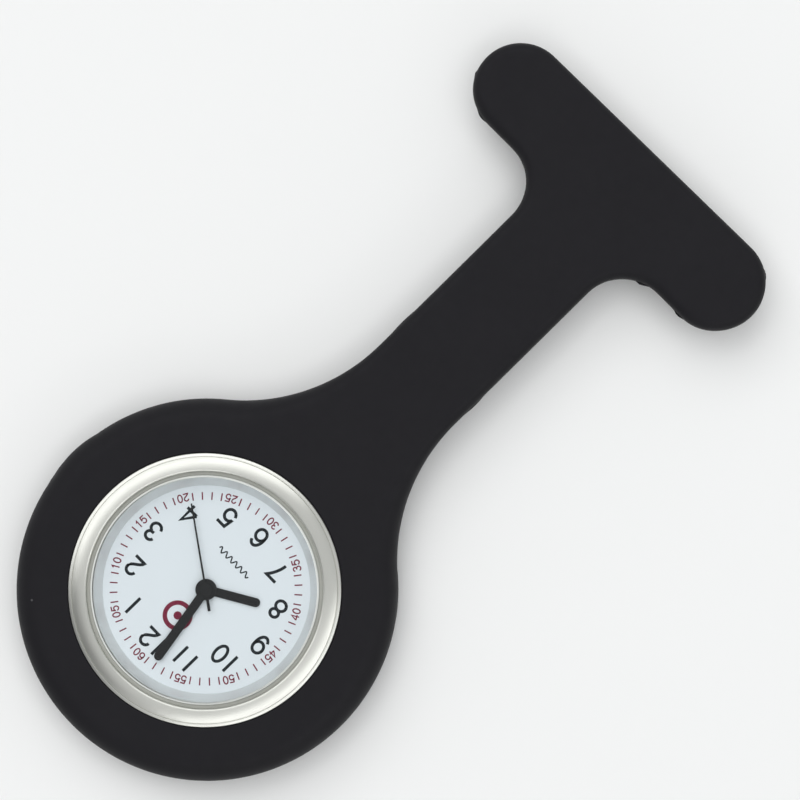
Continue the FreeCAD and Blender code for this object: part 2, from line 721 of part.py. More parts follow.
def setting_lever():
    """Lever whose pin sits in the stem's groove and follows the crown's pull."""
    z = (1.88, 2.06)
    pin_at = (LEVER_PIN_X, 0)
    arm = bar(LEVER_PIVOT, pin_at, 0.3, z)
    tail = bar(LEVER_PIVOT, polar(1.5, bearing(pin_at, LEVER_PIVOT) + 35, LEVER_PIVOT), 0.3, z)
    blank = fuse([arm, tail, rod(0.7, z, LEVER_PIVOT), rod(0.15, (z[1], 2.3), pin_at)])
    return blank.cut(rod(0.35 + RUN_GAP, z, LEVER_PIVOT))


def yoke():
    """Fork that holds the clutch wheel by its groove."""
    z = (2.55, 2.75)
    x = (CLUTCH_X[0] + CLUTCH_X[1]) / 2
    arm = bar(YOKE_PIVOT, (x, -1.2), 0.28, z)
    finger = bar((x, -1.2), (x, -0.66), 0.13, z)
    return fuse([arm, finger, rod(0.6, z, YOKE_PIVOT)]).cut(rod(0.3, z, YOKE_PIVOT))


# brooch pin

def pin_plate():
    """Steel strip held in the T-bar, with two ears bent back for the needle's rivet."""
    length, width, thick = PIN_PLATE
    strip = box((-length / 2, length / 2), (BAR_Y - width / 2, BAR_Y + width / 2),
                (STRAP_BACK, STRAP_BACK + thick))
    upright = [e for e in strip.Edges if e.BoundBox.ZLength > thick / 2]
    parts = [strip.makeFillet(0.9, upright)]
    for side in (-1, 1):
        ear_y = (BAR_Y + side * 1.0 - 0.25, BAR_Y + side * 1.0 + 0.25)
        parts.append(box((PIN_HINGE_X - 1.5, PIN_HINGE_X + 1.5), ear_y, (PIN_Z, STRAP_BACK)))
        parts.append(rod_y(1.5, ear_y, PIN_HINGE_X, PIN_Z))
    return fuse(parts).cut(rod_y(NEEDLE_R, (BAR_Y - 2, BAR_Y + 2), PIN_HINGE_X, PIN_Z))


def pin_rivet():
    shank = rod_y(NEEDLE_R, (BAR_Y - 1.25, BAR_Y + 1.25), PIN_HINGE_X, PIN_Z)
    heads = [rod_y(0.75, (BAR_Y + side * 1.375 - 0.125, BAR_Y + side * 1.375 + 0.125), PIN_HINGE_X, PIN_Z)
             for side in (-1, 1)]
    return fuse([shank] + heads)


def pin_needle():
    """Eye, tapered root, straight shaft and a long point that ends inside the lock."""
    root_x, point_x = NEEDLE_SPAN
    eye = rod_y(1.0, (BAR_Y - 0.68, BAR_Y + 0.68), PIN_HINGE_X, PIN_Z)
    root = Part.makeCone(0.66, NEEDLE_R, root_x - PIN_HINGE_X, vec(PIN_HINGE_X, BAR_Y, PIN_Z), vec(1, 0, 0))
    shaft = rod_x(NEEDLE_R, (root_x, point_x), BAR_Y, PIN_Z)
    point = Part.makeCone(NEEDLE_R, 0.08, NEEDLE_TIP_X - point_x, vec(point_x, BAR_Y, PIN_Z), vec(1, 0, 0))
    hole = rod_y(NEEDLE_R + RUN_GAP, (BAR_Y - 1, BAR_Y + 1), PIN_HINGE_X, PIN_Z)
    return fuse([eye, root, shaft, point]).cut(hole)


def sector_x(r, x_span, half_angle):
    """A wedge about the needle's line, opening downwards by half_angle either side."""
    low = vec(x_span[0], BAR_Y, PIN_Z)
    corners = [low]
    for angle in (-half_angle, 0, half_angle):
        turn = math.radians(angle)
        corners.append(low + vec(0, r * math.sin(turn), -r * math.cos(turn)))
    return Part.Face(Part.makePolygon(corners + [low])).extrude(vec(x_span[1] - x_span[0], 0, 0))


def pin_catch():
    """Open tube for the needle's tip, with a window for the lock's tab."""
    outer_r = PIN_Z / math.cos(math.radians(CATCH_MOUTH))
    barrel = rod_x(outer_r, CATCH_X, BAR_Y, PIN_Z)
    neck = box(CATCH_X, (BAR_Y - 0.9, BAR_Y + 0.9), (PIN_Z, STRAP_BACK))
    window = (LOCK_X[0] + 0.75, LOCK_X[1] - 0.75)
    tools = [rod_x(CATCH_BORE_R, CATCH_X, BAR_Y, PIN_Z), sector_x(4, CATCH_X, CATCH_MOUTH),
             sector_x(4, window, 80)]
    return cut(barrel.fuse(neck), tools)


def pin_lock():
    """Turning barrel inside the catch: its slot lets the needle in, a turn closes it."""
    barrel = tube_x(LOCK_BORE_R, LOCK_R, LOCK_X, BAR_Y, PIN_Z)
    tab = box((LOCK_X[0] + 0.85, LOCK_X[1] - 0.85), (-0.2, 0.2), (-2.25, -0.8))
    tab.rotate(vec(0, 0), vec(1, 0, 0), TAB_ANGLE)
    tab.translate(vec(0, BAR_Y, PIN_Z))
    slot = box(LOCK_X, (BAR_Y - 0.46, BAR_Y + 0.46), (PIN_Z - 2, PIN_Z))
    return barrel.fuse(tab).cut(slot)


NODES = {
    "holder": holder, "case_body": case_body, "bezel": bezel, "crystal": crystal,
    "crystal_gasket": crystal_gasket, "case_back": case_back, "caseback_gasket": caseback_gasket,
    "stem_tube": stem_tube, "dial": dial, "dial_ring": dial_ring, "hour_hand": hour_hand,
    "minute_hand": minute_hand, "second_hand": second_hand, "second_wheel": second_wheel,
    "fifth_wheel": fifth_wheel, "third_wheel": third_wheel, "centre_wheel": centre_wheel,
    "cannon_pinion": cannon_pinion, "minute_wheel": minute_wheel, "hour_wheel": hour_wheel,
    "setting_wheel": setting_wheel, "rotor_pinion": rotor_pinion, "rotor_magnet": rotor_magnet,
    "main_plate": main_plate, "train_bridge": train_bridge, "movement_holder": movement_holder,
    "bridge_screws": bridge_screws, "clamp_screw": clamp_screw, "dial_washer": dial_washer,
    "battery": battery, "battery_insulator": battery_insulator, "battery_clamp": battery_clamp,
    "circuit_board": circuit_board, "circuit_chip": circuit_chip, "quartz_crystal": quartz_crystal,
    "coil_core": coil_core, "coil_bobbin": coil_bobbin, "coil_winding": coil_winding, "stator": stator,
    "stem": stem, "crown": crown, "crown_gasket": crown_gasket, "clutch_wheel": clutch_wheel,
    "setting_lever": setting_lever, "yoke": yoke, "pin_plate": pin_plate, "pin_rivet": pin_rivet,
    "pin_needle": pin_needle, "pin_catch": pin_catch, "pin_lock": pin_lock,
}

for node, make in NODES.items():
    save(node, make())
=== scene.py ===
import math

import bmesh
import bpy
from mathutils import Matrix, Vector


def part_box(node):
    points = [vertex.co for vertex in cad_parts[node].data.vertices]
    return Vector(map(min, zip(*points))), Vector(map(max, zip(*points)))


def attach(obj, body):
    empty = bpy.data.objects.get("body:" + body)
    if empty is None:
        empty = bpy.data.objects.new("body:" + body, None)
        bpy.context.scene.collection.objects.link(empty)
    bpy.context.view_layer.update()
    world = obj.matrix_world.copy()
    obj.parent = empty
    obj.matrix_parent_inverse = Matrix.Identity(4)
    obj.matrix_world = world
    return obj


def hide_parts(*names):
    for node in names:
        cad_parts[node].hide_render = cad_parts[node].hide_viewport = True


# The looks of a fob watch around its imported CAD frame. Shapes are made in millimetres
# and scaled to metres when they become pieces.

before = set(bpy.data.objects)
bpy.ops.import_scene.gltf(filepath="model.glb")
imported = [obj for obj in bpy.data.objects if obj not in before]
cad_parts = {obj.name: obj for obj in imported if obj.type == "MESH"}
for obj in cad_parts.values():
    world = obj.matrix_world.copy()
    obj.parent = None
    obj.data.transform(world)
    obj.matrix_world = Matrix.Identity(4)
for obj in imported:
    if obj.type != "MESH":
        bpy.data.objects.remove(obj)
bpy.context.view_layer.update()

MM = 0.001


def span(node, axis):
    """The lowest and highest millimetre of a CAD node along X, Y or Z."""
    low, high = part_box(node)
    return low["XYZ".index(axis)] / MM, high["XYZ".index(axis)] / MM


def half_span(node, axis):
    low, high = span(node, axis)
    return (high - low) / 2


# Sizes read from the frame
HEAD_R = -span("holder", "Y")[0]
BAR_TOP = span("holder", "Y")[1]
CROWN_BUMP = -span("holder", "X")[0] - HEAD_R
HEAD_BACK, HOLDER_TOP = span("holder", "Z")
PIN_PLATE_T = 0.55
PIN_PLATE_R = 0.9
STRAP_BACK = span("pin_plate", "Z")[1] - PIN_PLATE_T
BEZEL_R = span("bezel", "X")[1]
BEZEL_LOW, BEZEL_TOP = span("bezel", "Z")
GLASS_BORE = BEZEL_R - 2.0
CRYSTAL_R = span("crystal", "X")[1]
CRYSTAL_LOW, CRYSTAL_TOP = span("crystal", "Z")
CRYSTAL_BEVEL = 0.2
DIAL_TOP = span("dial", "Z")[1]
RING_LOW, RING_TOP = span("dial_ring", "Z")
BACK_R = span("case_back", "X")[1]
CROWN_OUT, CROWN_IN = span("crown", "X")
CROWN_R = half_span("crown", "Y")
STEM_Z = sum(span("crown", "Z")) / 2
BAR_Y = sum(span("pin_plate", "Y")) / 2
PIN_Z = sum(span("pin_rivet", "Z")) / 2
PIN_HINGE_X = sum(span("pin_rivet", "X")) / 2
NEEDLE_R = 0.4
RIVET_R = 0.4
EAR_R = 1.5
EAR_Y = 1.0
EAR_T = 0.5

# Holder sizes that its box doesn't give
STRAP_W = 12.0
FLARE_R = 21.3
BAR_HALF = 20.4
BAR_FILLET = 5.3
BAR_W = 2 * (BAR_TOP - BAR_Y)
HEAD_EDGE = 2.6
STRAP_EDGE = 1.2
HEAD_BACK_EDGE = 2.4
BUMP_R = 12.0
CASE_BORE = 14.55
BEZEL_BORE = BEZEL_R + 0.02
FACE_MARGIN = 0.25

# Soft silicone doesn't lie quite straight: the bar leans and the strap bows a little
BAR_LEAN = math.radians(1.3)
LEAN_FROM = 55.5
LEAN_TO = 61.5
STRAP_BOW = 0.10
BOW_FROM = 12.0
BOW_TO = 54.0


# Outlines and meshes

def arc(centre, r, start, end, step=3.0):
    """Points of an arc from start to end, in degrees."""
    count = max(2, round(abs(end - start) / step))
    points = []
    for i in range(count + 1):
        a = math.radians(start + (end - start) * i / count)
        points.append((centre[0] + r * math.cos(a), centre[1] + r * math.sin(a)))
    return points


def line(start, end, step=0.4):
    """Evenly spaced points of a straight stretch."""
    count = max(1, round(math.dist(start, end) / step))
    return [(start[0] + (end[0] - start[0]) * i / count,
             start[1] + (end[1] - start[1]) * i / count) for i in range(count + 1)]


def oval(cx, cy, rx, ry, start, end, step=12.0):
    """Points of part of an ellipse."""
    return [(cx + rx * x, cy + ry * y) for x, y in arc((0, 0), 1, start, end, step)]


def bend(p0, p1, p2, p3, count=10):
    """Points of a cubic curve."""
    points = []
    for i in range(count + 1):
        t = i / count
        s = 1 - t
        weights = (s ** 3, 3 * s * s * t, 3 * s * t * t, t ** 3)
        points.append(tuple(sum(w * p[k] for w, p in zip(weights, (p0, p1, p2, p3))) for k in (0, 1)))
    return points


def joined(*stretches):
    """One list of points from several, without repeats where they meet."""
    points = []
    for stretch in stretches:
        points += [p for p in stretch if not points or math.dist(p, points[-1]) > 1e-4]
    return points


def closed(*stretches):
    points = joined(*stretches)
    return points[:-1] if math.dist(points[0], points[-1]) < 1e-4 else points


def rounded_box(half_x, half_y, r):
    """An anticlockwise rectangle about the origin with round corners."""
    corners = ((half_x - r, half_y - r, 0), (r - half_x, half_y - r, 90),
               (r - half_x, r - half_y, 180), (half_x - r, r - half_y, 270))
    return closed(*[arc((x, y), r, a, a + 90, 15) for x, y, a in corners])


def circle(r, step=6.0):
    return closed(arc((0, 0), r, 0, 360, step))


def moved(points, dx, dy):
    return [(x + dx, y + dy) for x, y in points]


def outward(points):
    """The outward direction at each point of an anticlockwise outline, mitred at corners."""
    found = []
    for i, p in enumerate(points):
        here = Vector(p)
        back = (here - Vector(points[i - 1])).normalized()
        ahead = (Vector(points[(i + 1) % len(points)]) - here).normalized()
        a, b = Vector((back.y, -back.x)), Vector((ahead.y, -ahead.x))
        middle = (a + b).normalized()
        found.append(middle / max(0.4, middle.dot(a)))
    return found


def drawn_in(points, normals, distance):
    """An outline moved in against its outward directions."""
    return [(p[0] - n.x * distance, p[1] - n.y * distance) for p, n in zip(points, normals)]


def quarter(r, steps=9):
    """Pairs of sine and cosine, times r, through a quarter turn."""
    angles = [math.pi / 2 * k / steps for k in range(steps + 1)]
    return [(r * math.sin(a), r * math.cos(a)) for a in angles]


def rounded(corners, steps=5):
    """A closed profile from (x, y, radius) corners, each corner turned into an arc."""
    points = []
    for i, (x, y, radius) in enumerate(corners):
        here = Vector((x, y))
        back = Vector(corners[i - 1][:2]) - here
        ahead = Vector(corners[(i + 1) % len(corners)][:2]) - here
        half = back.angle(ahead) / 2
        if radius == 0 or half > math.radians(89):
            points.append((x, y))
            continue
        reach = min(radius / math.tan(half), 0.46 * back.length, 0.46 * ahead.length)
        centre = here + (back.normalized() + ahead.normalized()).normalized() * (reach / math.cos(half))
        start = here + back.normalized() * reach - centre
        end = here + ahead.normalized() * reach - centre
        turn = math.atan2(start.x * end.y - start.y * end.x, start.dot(end))
        for k in range(steps + 1):
            spoke = Matrix.Rotation(turn * k / steps, 2) @ start
            points.append(tuple(centre + spoke))
    return points


def ring_of(bm, points, z):
    return [bm.verts.new((p[0], p[1], z[i] if isinstance(z, list) else z)) for i, p in enumerate(points)]


def skin(bm, loops, wrap=True):
    """Quads between each loop of vertices and the next."""
    for low, high in zip(loops, loops[1:]):
        count = len(low)
        for i in range(count if wrap else count - 1):
            j = (i + 1) % count
            bm.faces.new((low[i], low[j], high[j], high[i]))


def cap(bm, *loops):
    """A flat face across closed loops of vertices, the inner ones left open."""
    edges = []
    for loop in loops:
        for i, v in enumerate(loop):
            w = loop[(i + 1) % len(loop)]
            edges.append(bm.edges.get((v, w)) or bm.edges.new((v, w)))
    bmesh.ops.triangle_fill(bm, use_beauty=True, use_dissolve=False, edges=edges, normal=(0, 0, 1))


def turned(bm, profile, segments=192):
    """A closed (radius, height) profile turned about Z."""
    loops = []
    for r, z in profile:
        angles = [2 * math.pi * i / segments for i in range(segments)]
        loops.append([bm.verts.new((r * math.cos(a), r * math.sin(a), z)) for a in angles])
    skin(bm, loops + loops[:1])
    return bm


def plate(bm, outline, z_span, edge=0.0, holes=(), steps=3):
    """A flat plate with rounded rims. Holes are outlines too, anticlockwise."""
    low, high = z_span
    rim = [(edge - x, edge - y) for x, y in quarter(edge, steps)] if edge else [(0, 0)]
    profile = [(inset, low + lift) for inset, lift in rim]
    profile += [(inset, high - lift) for inset, lift in reversed(rim)]
    ends = ([], [])
    for points, sign in [(outline, 1)] + [(hole, -1) for hole in holes]:
        normals = outward(points)
        loops = []
        for inset, z in profile:
            loops.append(ring_of(bm, drawn_in(points, normals, sign * inset), z))
        skin(bm, loops)
        ends[0].append(loops[0])
        ends[1].append(loops[-1])
    cap(bm, *ends[0])
    cap(bm, *ends[1])
    return bm


def ribbon(bm, path, width, z_span, loop=False):
    """A printed stroke: a thin strip of the given width along a path."""
    count = len(path)
    sides = []
    for i, p in enumerate(path):
        here = Vector(p)
        back = here - Vector(path[i - 1]) if i or loop else None
        ahead = Vector(path[(i + 1) % count]) - here if i < count - 1 or loop else None
        back = (back or ahead).normalized()
        ahead = (ahead or back).normalized()
        a, b = Vector((-back.y, back.x)), Vector((-ahead.y, ahead.x))
        middle = (a + b).normalized()
        reach = middle * (width / 2 / max(0.45, middle.dot(a)))
        sides.append((here + reach, here - reach))
    rows = []
    for left, right in sides:
        rows.append([bm.verts.new((*p, z)) for p, z in
                     ((left, z_span[0]), (left, z_span[1]), (right, z_span[1]), (right, z_span[0]))])
    skin(bm, rows + rows[:1] if loop else rows)
    if not loop:
        bm.faces.new(rows[0])
        bm.faces.new(rows[-1])


def solid_from(make, *args, **kwargs):
    """A temporary object, in millimetres, for cutting and joining."""
    bm = bmesh.new()
    make(bm, *args, **kwargs)
    bmesh.ops.remove_doubles(bm, verts=bm.verts, dist=1e-4)
    bmesh.ops.recalc_face_normals(bm, faces=bm.faces)
    mesh = bpy.data.meshes.new("temporary")
    bm.to_mesh(mesh)
    bm.free()
    obj = bpy.data.objects.new("temporary", mesh)
    bpy.context.scene.collection.objects.link(obj)
    return obj


def combine(base, tools, operation):
    """The base with each tool cut away or joined, as a new temporary object."""
    for tool in tools:
        modifier = base.modifiers.new("join", "BOOLEAN")
        modifier.operation = operation
        modifier.solver = "EXACT"
        modifier.object = tool
    graph = bpy.context.evaluated_depsgraph_get()
    mesh = bpy.data.meshes.new_from_object(base.evaluated_get(graph))
    for obj in [base, *tools]:
        bpy.data.objects.remove(obj)
    result = bpy.data.objects.new("temporary", mesh)
    bpy.context.scene.collection.objects.link(result)
    return result


def piece(name, shape, body, slot, replaced=(), sharp=35, finish=None):
    """A finished piece from a bmesh or a temporary object, riding on a CAD body.

    Edges sharper than so many degrees stay sharp. Its finish is its slot's unless another is named."""
    if isinstance(shape, bmesh.types.BMesh):
        bm = shape
    else:
        bm = bmesh.new()
        bm.from_mesh(shape.data)
        bpy.data.objects.remove(shape)
    bmesh.ops.remove_doubles(bm, verts=bm.verts, dist=2e-4)
    bmesh.ops.dissolve_degenerate(bm, edges=bm.edges, dist=2e-4)
    bmesh.ops.delete(bm, geom=[e for e in bm.edges if not e.link_faces], context="EDGES")
    bmesh.ops.recalc_face_normals(bm, faces=bm.faces)
    bmesh.ops.scale(bm, vec=(MM, MM, MM), verts=bm.verts)
    mesh = bpy.data.meshes.new(name)
    bm.to_mesh(mesh)
    bm.free()
    mesh.shade_smooth()
    mesh.set_sharp_from_angle(angle=math.radians(sharp))
    mesh.materials.append(FINISHES[finish or slot])
    obj = bpy.data.objects.new(name, mesh)
    bpy.context.scene.collection.objects.link(obj)
    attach(obj, body)
    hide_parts(*replaced)
    return obj


def new():
    return bmesh.new()


# Materials

class Nodes:
    """A short way to write a node tree in object coordinates, in metres."""

    def __init__(self, name):
        self.material = bpy.data.materials.new(name)
        self.material.use_nodes = True
        self.tree = self.material.node_tree
        self.shader = self.tree.nodes["Principled BSDF"]
        self.place = self.tree.nodes.new("ShaderNodeTexCoord").outputs["Object"]

    def add(self, kind, **inputs):
        node = self.tree.nodes.new("ShaderNode" + kind)
        for key, value in inputs.items():
            self.set(node.inputs[key.replace("_", " ")], value)
        return node

    def set(self, socket, value):
        if isinstance(value, bpy.types.NodeSocket):
            self.tree.links.new(value, socket)
        else:
            socket.default_value = value

    def math(self, operation, a, b=0.0, c=0.0):
        node = self.tree.nodes.new("ShaderNodeMath")
        node.operation = operation
        for socket, value in zip(node.inputs, (a, b, c)):
            self.set(socket, value)
        return node.outputs[0]

    def noise(self, scale, detail=2.0, place=None, roughness=0.5):
        node = self.add("TexNoise", Scale=scale, Detail=detail, Roughness=roughness)
        self.set(node.inputs["Vector"], place or self.place)
        return node.outputs["Fac"]

    def between(self, share, low, high):
        """A number from low to high as share goes from 0 to 1."""
        return self.math("MULTIPLY_ADD", share, high - low, low)

    def blend(self, share, first, second):
        node = self.tree.nodes.new("ShaderNodeMix")
        node.data_type = "RGBA"
        self.set(node.inputs[0], share)
        self.set(node.inputs[6], first)
        self.set(node.inputs[7], second)
        return node.outputs[2]

    def bump(self, height, distance, strength=1.0):
        node = self.add("Bump", Strength=strength, Distance=distance)
        self.set(node.inputs["Height"], height)
        self.set(self.shader.inputs["Normal"], node.outputs[0])

    def split(self):
        node = self.add("SeparateXYZ")
        self.set(node.inputs[0], self.place)
        return node.outputs

    def radius(self):
        """Distance from Z."""
        x, y = self.split()[0], self.split()[1]
        return self.math("SQRT", self.math("ADD", self.math("MULTIPLY", x, x), self.math("MULTIPLY", y, y)))

    def polar(self, radial, round_scale):
        """Coordinates that follow circles about Z, for turned and brushed marks."""
        x, y, z = self.split()
        node = self.add("CombineXYZ")
        self.set(node.inputs[0], self.math("MULTIPLY", self.radius(), radial))
        self.set(node.inputs[1], self.math("MULTIPLY", self.math("ARCTAN2", y, x), round_scale))
        self.set(node.inputs[2], self.math("MULTIPLY", z, radial))
        return node.outputs[0]

    def finish(self, **inputs):
        for key, value in inputs.items():
            self.set(self.shader.inputs[key.replace("_", " ")], value)
        return self.material


def silicone():
    """Black moulded silicone: matt, faintly mottled, with a few grains of dust."""
    n = Nodes("silicone")
    mottle = n.noise(160, 3)
    fine = n.noise(5200, 2)
    dust = n.add("TexVoronoi", Scale=170.0)
    n.set(dust.inputs["Vector"], n.place)
    near = n.math("LESS_THAN", dust.outputs["Distance"], 0.026)
    rare = n.math("GREATER_THAN", n.noise(90, 0), 0.56)
    speck = n.math("MULTIPLY", near, rare)
    plain = n.blend(mottle, (0.0054, 0.0051, 0.0066, 1), (0.0070, 0.0067, 0.0084, 1))
    n.bump(n.math("ADD", fine, n.math("MULTIPLY", mottle, 2.0)), 0.00001, 0.5)
    return n.finish(Base_Color=n.blend(n.math("MULTIPLY", speck, 0.25), plain, (0.25, 0.25, 0.26, 1)),
                    Roughness=n.between(n.noise(700, 3), 0.52, 0.68), Specular_IOR_Level=0.25, IOR=1.43)


def brushed(name, colour, rough, lines=9000.0, anisotropic=0.75, depth=0.000002):
    """Turned metal: fine circular lines about Z and highlights that spread across them."""
    n = Nodes(name)
    marks = n.noise(1.0, 3, n.polar(lines, 6.0), 0.65)
    broad = n.noise(1.0, 2, n.polar(lines / 14, 2.0))
    darker = tuple(c * 0.88 for c in colour) + (1,)
    tangent = n.add("Tangent")
    tangent.direction_type = "RADIAL"
    tangent.axis = "Z"
    n.bump(marks, depth, 0.35)
    return n.finish(Base_Color=n.blend(n.math("MULTIPLY", broad, 0.8), colour + (1,), darker),
                    Metallic=1.0, Roughness=n.between(marks, rough - 0.06, rough + 0.08),
                    Anisotropic=anisotropic, Anisotropic_Rotation=0.25, Tangent=tangent.outputs[0])


def metal(name, colour, rough, scratch=2500.0, depth=0.000002):
    """Plain metal with a little uneven wear and fine scratches."""
    n = Nodes(name)
    wear = n.noise(420, 4)
    stretched = n.add("Mapping", Scale=(scratch, scratch * 0.06, scratch))
    n.set(stretched.inputs["Vector"], n.place)
    fine = n.noise(1.0, 3, stretched.outputs[0], 0.6)
    duller = tuple(c * 0.8 for c in colour) + (1,)
    n.bump(fine, depth, 0.4)
    return n.finish(Base_Color=n.blend(n.math("MULTIPLY", wear, 0.7), colour + (1,), duller),
                    Metallic=1.0, Roughness=n.between(wear, rough - 0.06, rough + 0.1))


def plastic(name, colour, rough, grain=3000.0, depth=0.000004, **inputs):
    """Moulded plastic, rubber, paint or ink: a fine grain and slight colour variation."""
    n = Nodes(name)
    patch = n.noise(300, 3)
    fine = n.noise(grain, 2)
    darker = tuple(c * 0.86 for c in colour) + (1,)
    n.bump(fine, depth, 0.4)
    return n.finish(Base_Color=n.blend(patch, colour + (1,), darker),
                    Roughness=n.between(patch, rough - 0.05, rough + 0.07), **inputs)


def dial_paint():
    """Matt white lacquer with a faint cool cast, finely grained."""
    n = Nodes("dial_white")
    patch = n.noise(110, 2)
    fine = n.noise(9000, 2)
    n.bump(fine, 0.000002, 0.3)
    return n.finish(Base_Color=n.blend(patch, (0.70, 0.735, 0.785, 1), (0.71, 0.745, 0.795, 1)),
                    Roughness=n.between(fine, 0.42, 0.55), Specular_IOR_Level=0.35)


def glass():
    """Clear mineral glass that lets light straight through and mirrors by angle; its bevel is a pale matt
    band, a painted highlight for the bright line of light the bevel catches.
    """
    n = Nodes("crystal_glass")
    smear = n.noise(60, 2)
    mirror = n.add("BsdfGlossy", Roughness=n.between(smear, 0.02, 0.07))
    clear = n.add("BsdfTransparent", Color=(0.985, 0.995, 0.99, 1))
    facing = n.add("LayerWeight", Blend=0.5).outputs["Facing"]
    mix = n.add("MixShader")
    n.set(mix.inputs[0], n.math("MULTIPLY_ADD", n.math("POWER", facing, 5.0), 0.4, 0.012))
    n.set(mix.inputs[1], clear.outputs[0])
    n.set(mix.inputs[2], mirror.outputs[0])
    # painted highlight: a pale matt band on the bevel stands in for the light the bevel reflects
    painted_bevel_highlight = n.add("BsdfDiffuse", Color=(0.86, 0.88, 0.85, 1))
    bevel = n.math("GREATER_THAN", n.radius(), (CRYSTAL_R - CRYSTAL_BEVEL - 0.01) * MM)
    bevel_highlight_mix = n.add("MixShader")
    n.set(bevel_highlight_mix.inputs[0], n.math("MULTIPLY", bevel, 0.75))
    n.set(bevel_highlight_mix.inputs[1], mix.outputs[0])
    n.set(bevel_highlight_mix.inputs[2], painted_bevel_highlight.outputs[0])
    n.set(n.tree.nodes["Material Output"].inputs["Surface"], bevel_highlight_mix.outputs[0])
    return n.material


STEEL = (0.775, 0.78, 0.73)
FINISHES = {
    "silicone": silicone(),
    "bezel_steel": brushed("bezel_steel", STEEL, 0.30),
    "case_steel": brushed("case_steel", (0.66, 0.66, 0.65), 0.33),
    "crystal_glass": glass(),
    "gasket": plastic("gasket", (0.335, 0.34, 0.31), 0.5),
    "dial_white": dial_paint(),
    "dial_print": plastic("dial_print", (0.006, 0.009, 0.012), 0.5, Specular_IOR_Level=0.2),
    "dial_red": plastic("dial_red", (0.17, 0.010, 0.036), 0.5, Specular_IOR_Level=0.2),
    "ring_grey": plastic("ring_grey", (0.68, 0.70, 0.71), 0.3, Metallic=0.5),
    "hand_black": plastic("hand_black", (0.006, 0.006, 0.007), 0.45, 6000.0, 0.000002,
                          Specular_IOR_Level=0.25),
    "brass_train": brushed("brass_train", (0.83, 0.62, 0.26), 0.3),
    "plastic_wheel": plastic("plastic_wheel", (0.75, 0.74, 0.68), 0.45),
    "plate_metal": metal("plate_metal", (0.72, 0.70, 0.66), 0.38),
    "holder_plastic": plastic("holder_plastic", (0.82, 0.80, 0.74), 0.5),
    "magnet": metal("magnet", (0.22, 0.22, 0.24), 0.42),
    "soft_iron": metal("soft_iron", (0.42, 0.41, 0.40), 0.45),
    "copper_wire": metal("copper_wire", (0.72, 0.32, 0.16), 0.32, 12000.0, 0.00002),
    "board_green": plastic("board_green", (0.05, 0.22, 0.09), 0.4),
    "chip_black": plastic("chip_black", (0.02, 0.02, 0.02), 0.55),
    "film": plastic("film", (0.45, 0.30, 0.10), 0.3, Alpha=0.85),
    "battery_steel": brushed("battery_steel", (0.70, 0.70, 0.69), 0.27),
    "screw_steel": metal("screw_steel", (0.62, 0.62, 0.63), 0.25),
    "pin_steel": metal("pin_steel", (0.68, 0.67, 0.65), 0.24),
}


# Silicone holder

def smooth_step(t):
    t = min(1.0, max(0.0, t))
    return t * t * (3 - 2 * t)


def strap_outline(flare_y):
    """Up the strap's right side from a flare's top, round the bar and down the left side."""
    w = STRAP_W / 2
    bar_low = BAR_Y - BAR_W / 2
    end_r = BAR_W / 2
    end_x = BAR_HALF - end_r
    fillet_x = w + BAR_FILLET
    fillet_y = bar_low - BAR_FILLET
    return joined(line((w, flare_y), (w, fillet_y)), arc((fillet_x, fillet_y), BAR_FILLET, 180, 90, 6),
                  line((fillet_x, bar_low), (end_x, bar_low)), arc((end_x, BAR_Y), end_r, -90, 90, 4),
                  line((end_x, BAR_TOP), (-end_x, BAR_TOP)), arc((-end_x, BAR_Y), end_r, 90, 270, 4),
                  line((-end_x, bar_low), (-fillet_x, bar_low)),
                  arc((-fillet_x, fillet_y), BAR_FILLET, 90, 0, 6), line((-w, fillet_y), (-w, flare_y)))


def head_outline(meet):
    """From the left flare's foot round the head to the right one's, with a bump over the crown."""
    middle = HEAD_R + CROWN_BUMP - BUMP_R
    half = math.degrees(math.acos((HEAD_R ** 2 + middle ** 2 - BUMP_R ** 2) / (2 * HEAD_R * middle)))
    half_bump = math.degrees(math.asin(HEAD_R * math.sin(math.radians(half)) / BUMP_R))
    return joined(arc((0, 0), HEAD_R, 180 - meet, 180 - half, 2),
                  arc((-middle, 0), BUMP_R, 180 - half_bump, 180 + half_bump, 2),
                  arc((0, 0), HEAD_R, 180 + half, 360 + meet, 2))


def holder_outline():
    """The outline from the right flare's foot anticlockwise, and the share of strap at each point.

    Share 0 is the head, 1 the strap and bar; it grows along the flares. Then how many points lie
    before the head, and the head's own circle under the neck."""
    flare_x = STRAP_W / 2 + FLARE_R
    flare_y = math.sqrt((HEAD_R + FLARE_R) ** 2 - flare_x ** 2)
    meet = math.degrees(math.atan2(flare_y, flare_x))
    flare = arc((flare_x, flare_y), FLARE_R, 180 + meet, 180, 1.5)
    mirrored = [(-x, y) for x, y in reversed(flare)]
    strap = strap_outline(flare_y)[1:-1]
    head = head_outline(meet)[1:-1]
    growing = [i / (len(flare) - 1) for i in range(len(flare))]
    points = flare + strap + mirrored + head
    shares = growing + [1.0] * len(strap) + [1 - share for share in growing] + [0.0] * len(head)
    under = arc((0, 0), HEAD_R, meet, 180 - meet, 2)[1:-1]
    return points, shares, len(points) - len(head), under


# Scraps of moulding flash on the parting line, and a cut: where, how far they stand out, how long
FLASH = (((9.3, 57.9), 0.27, 0.6), ((14.6, 58.27), 0.18, 0.7), ((18.2, 67.8), 0.10, 0.7),
         ((16.8, 68.6), -0.19, 0.9), ((-19.9, 61.6), 0.12, 0.45), ((-16.2, 58.45), 0.14, 0.8),
         ((6.0, 35.4), 0.10, 1.4), ((-6.0, 36.2), 0.09, 1.8), ((-20.8, -3.2), 0.08, 2.0))
FLASH_RIDGE = 0.02
FLASH_T = 0.09


def flash_at(p):
    """How far the parting line's flash stands out at a point of the outline."""
    out = FLASH_RIDGE
    for place, height, reach in FLASH:
        out += height * max(0.0, 1 - (math.dist(p, place) / reach) ** 2)
    return out


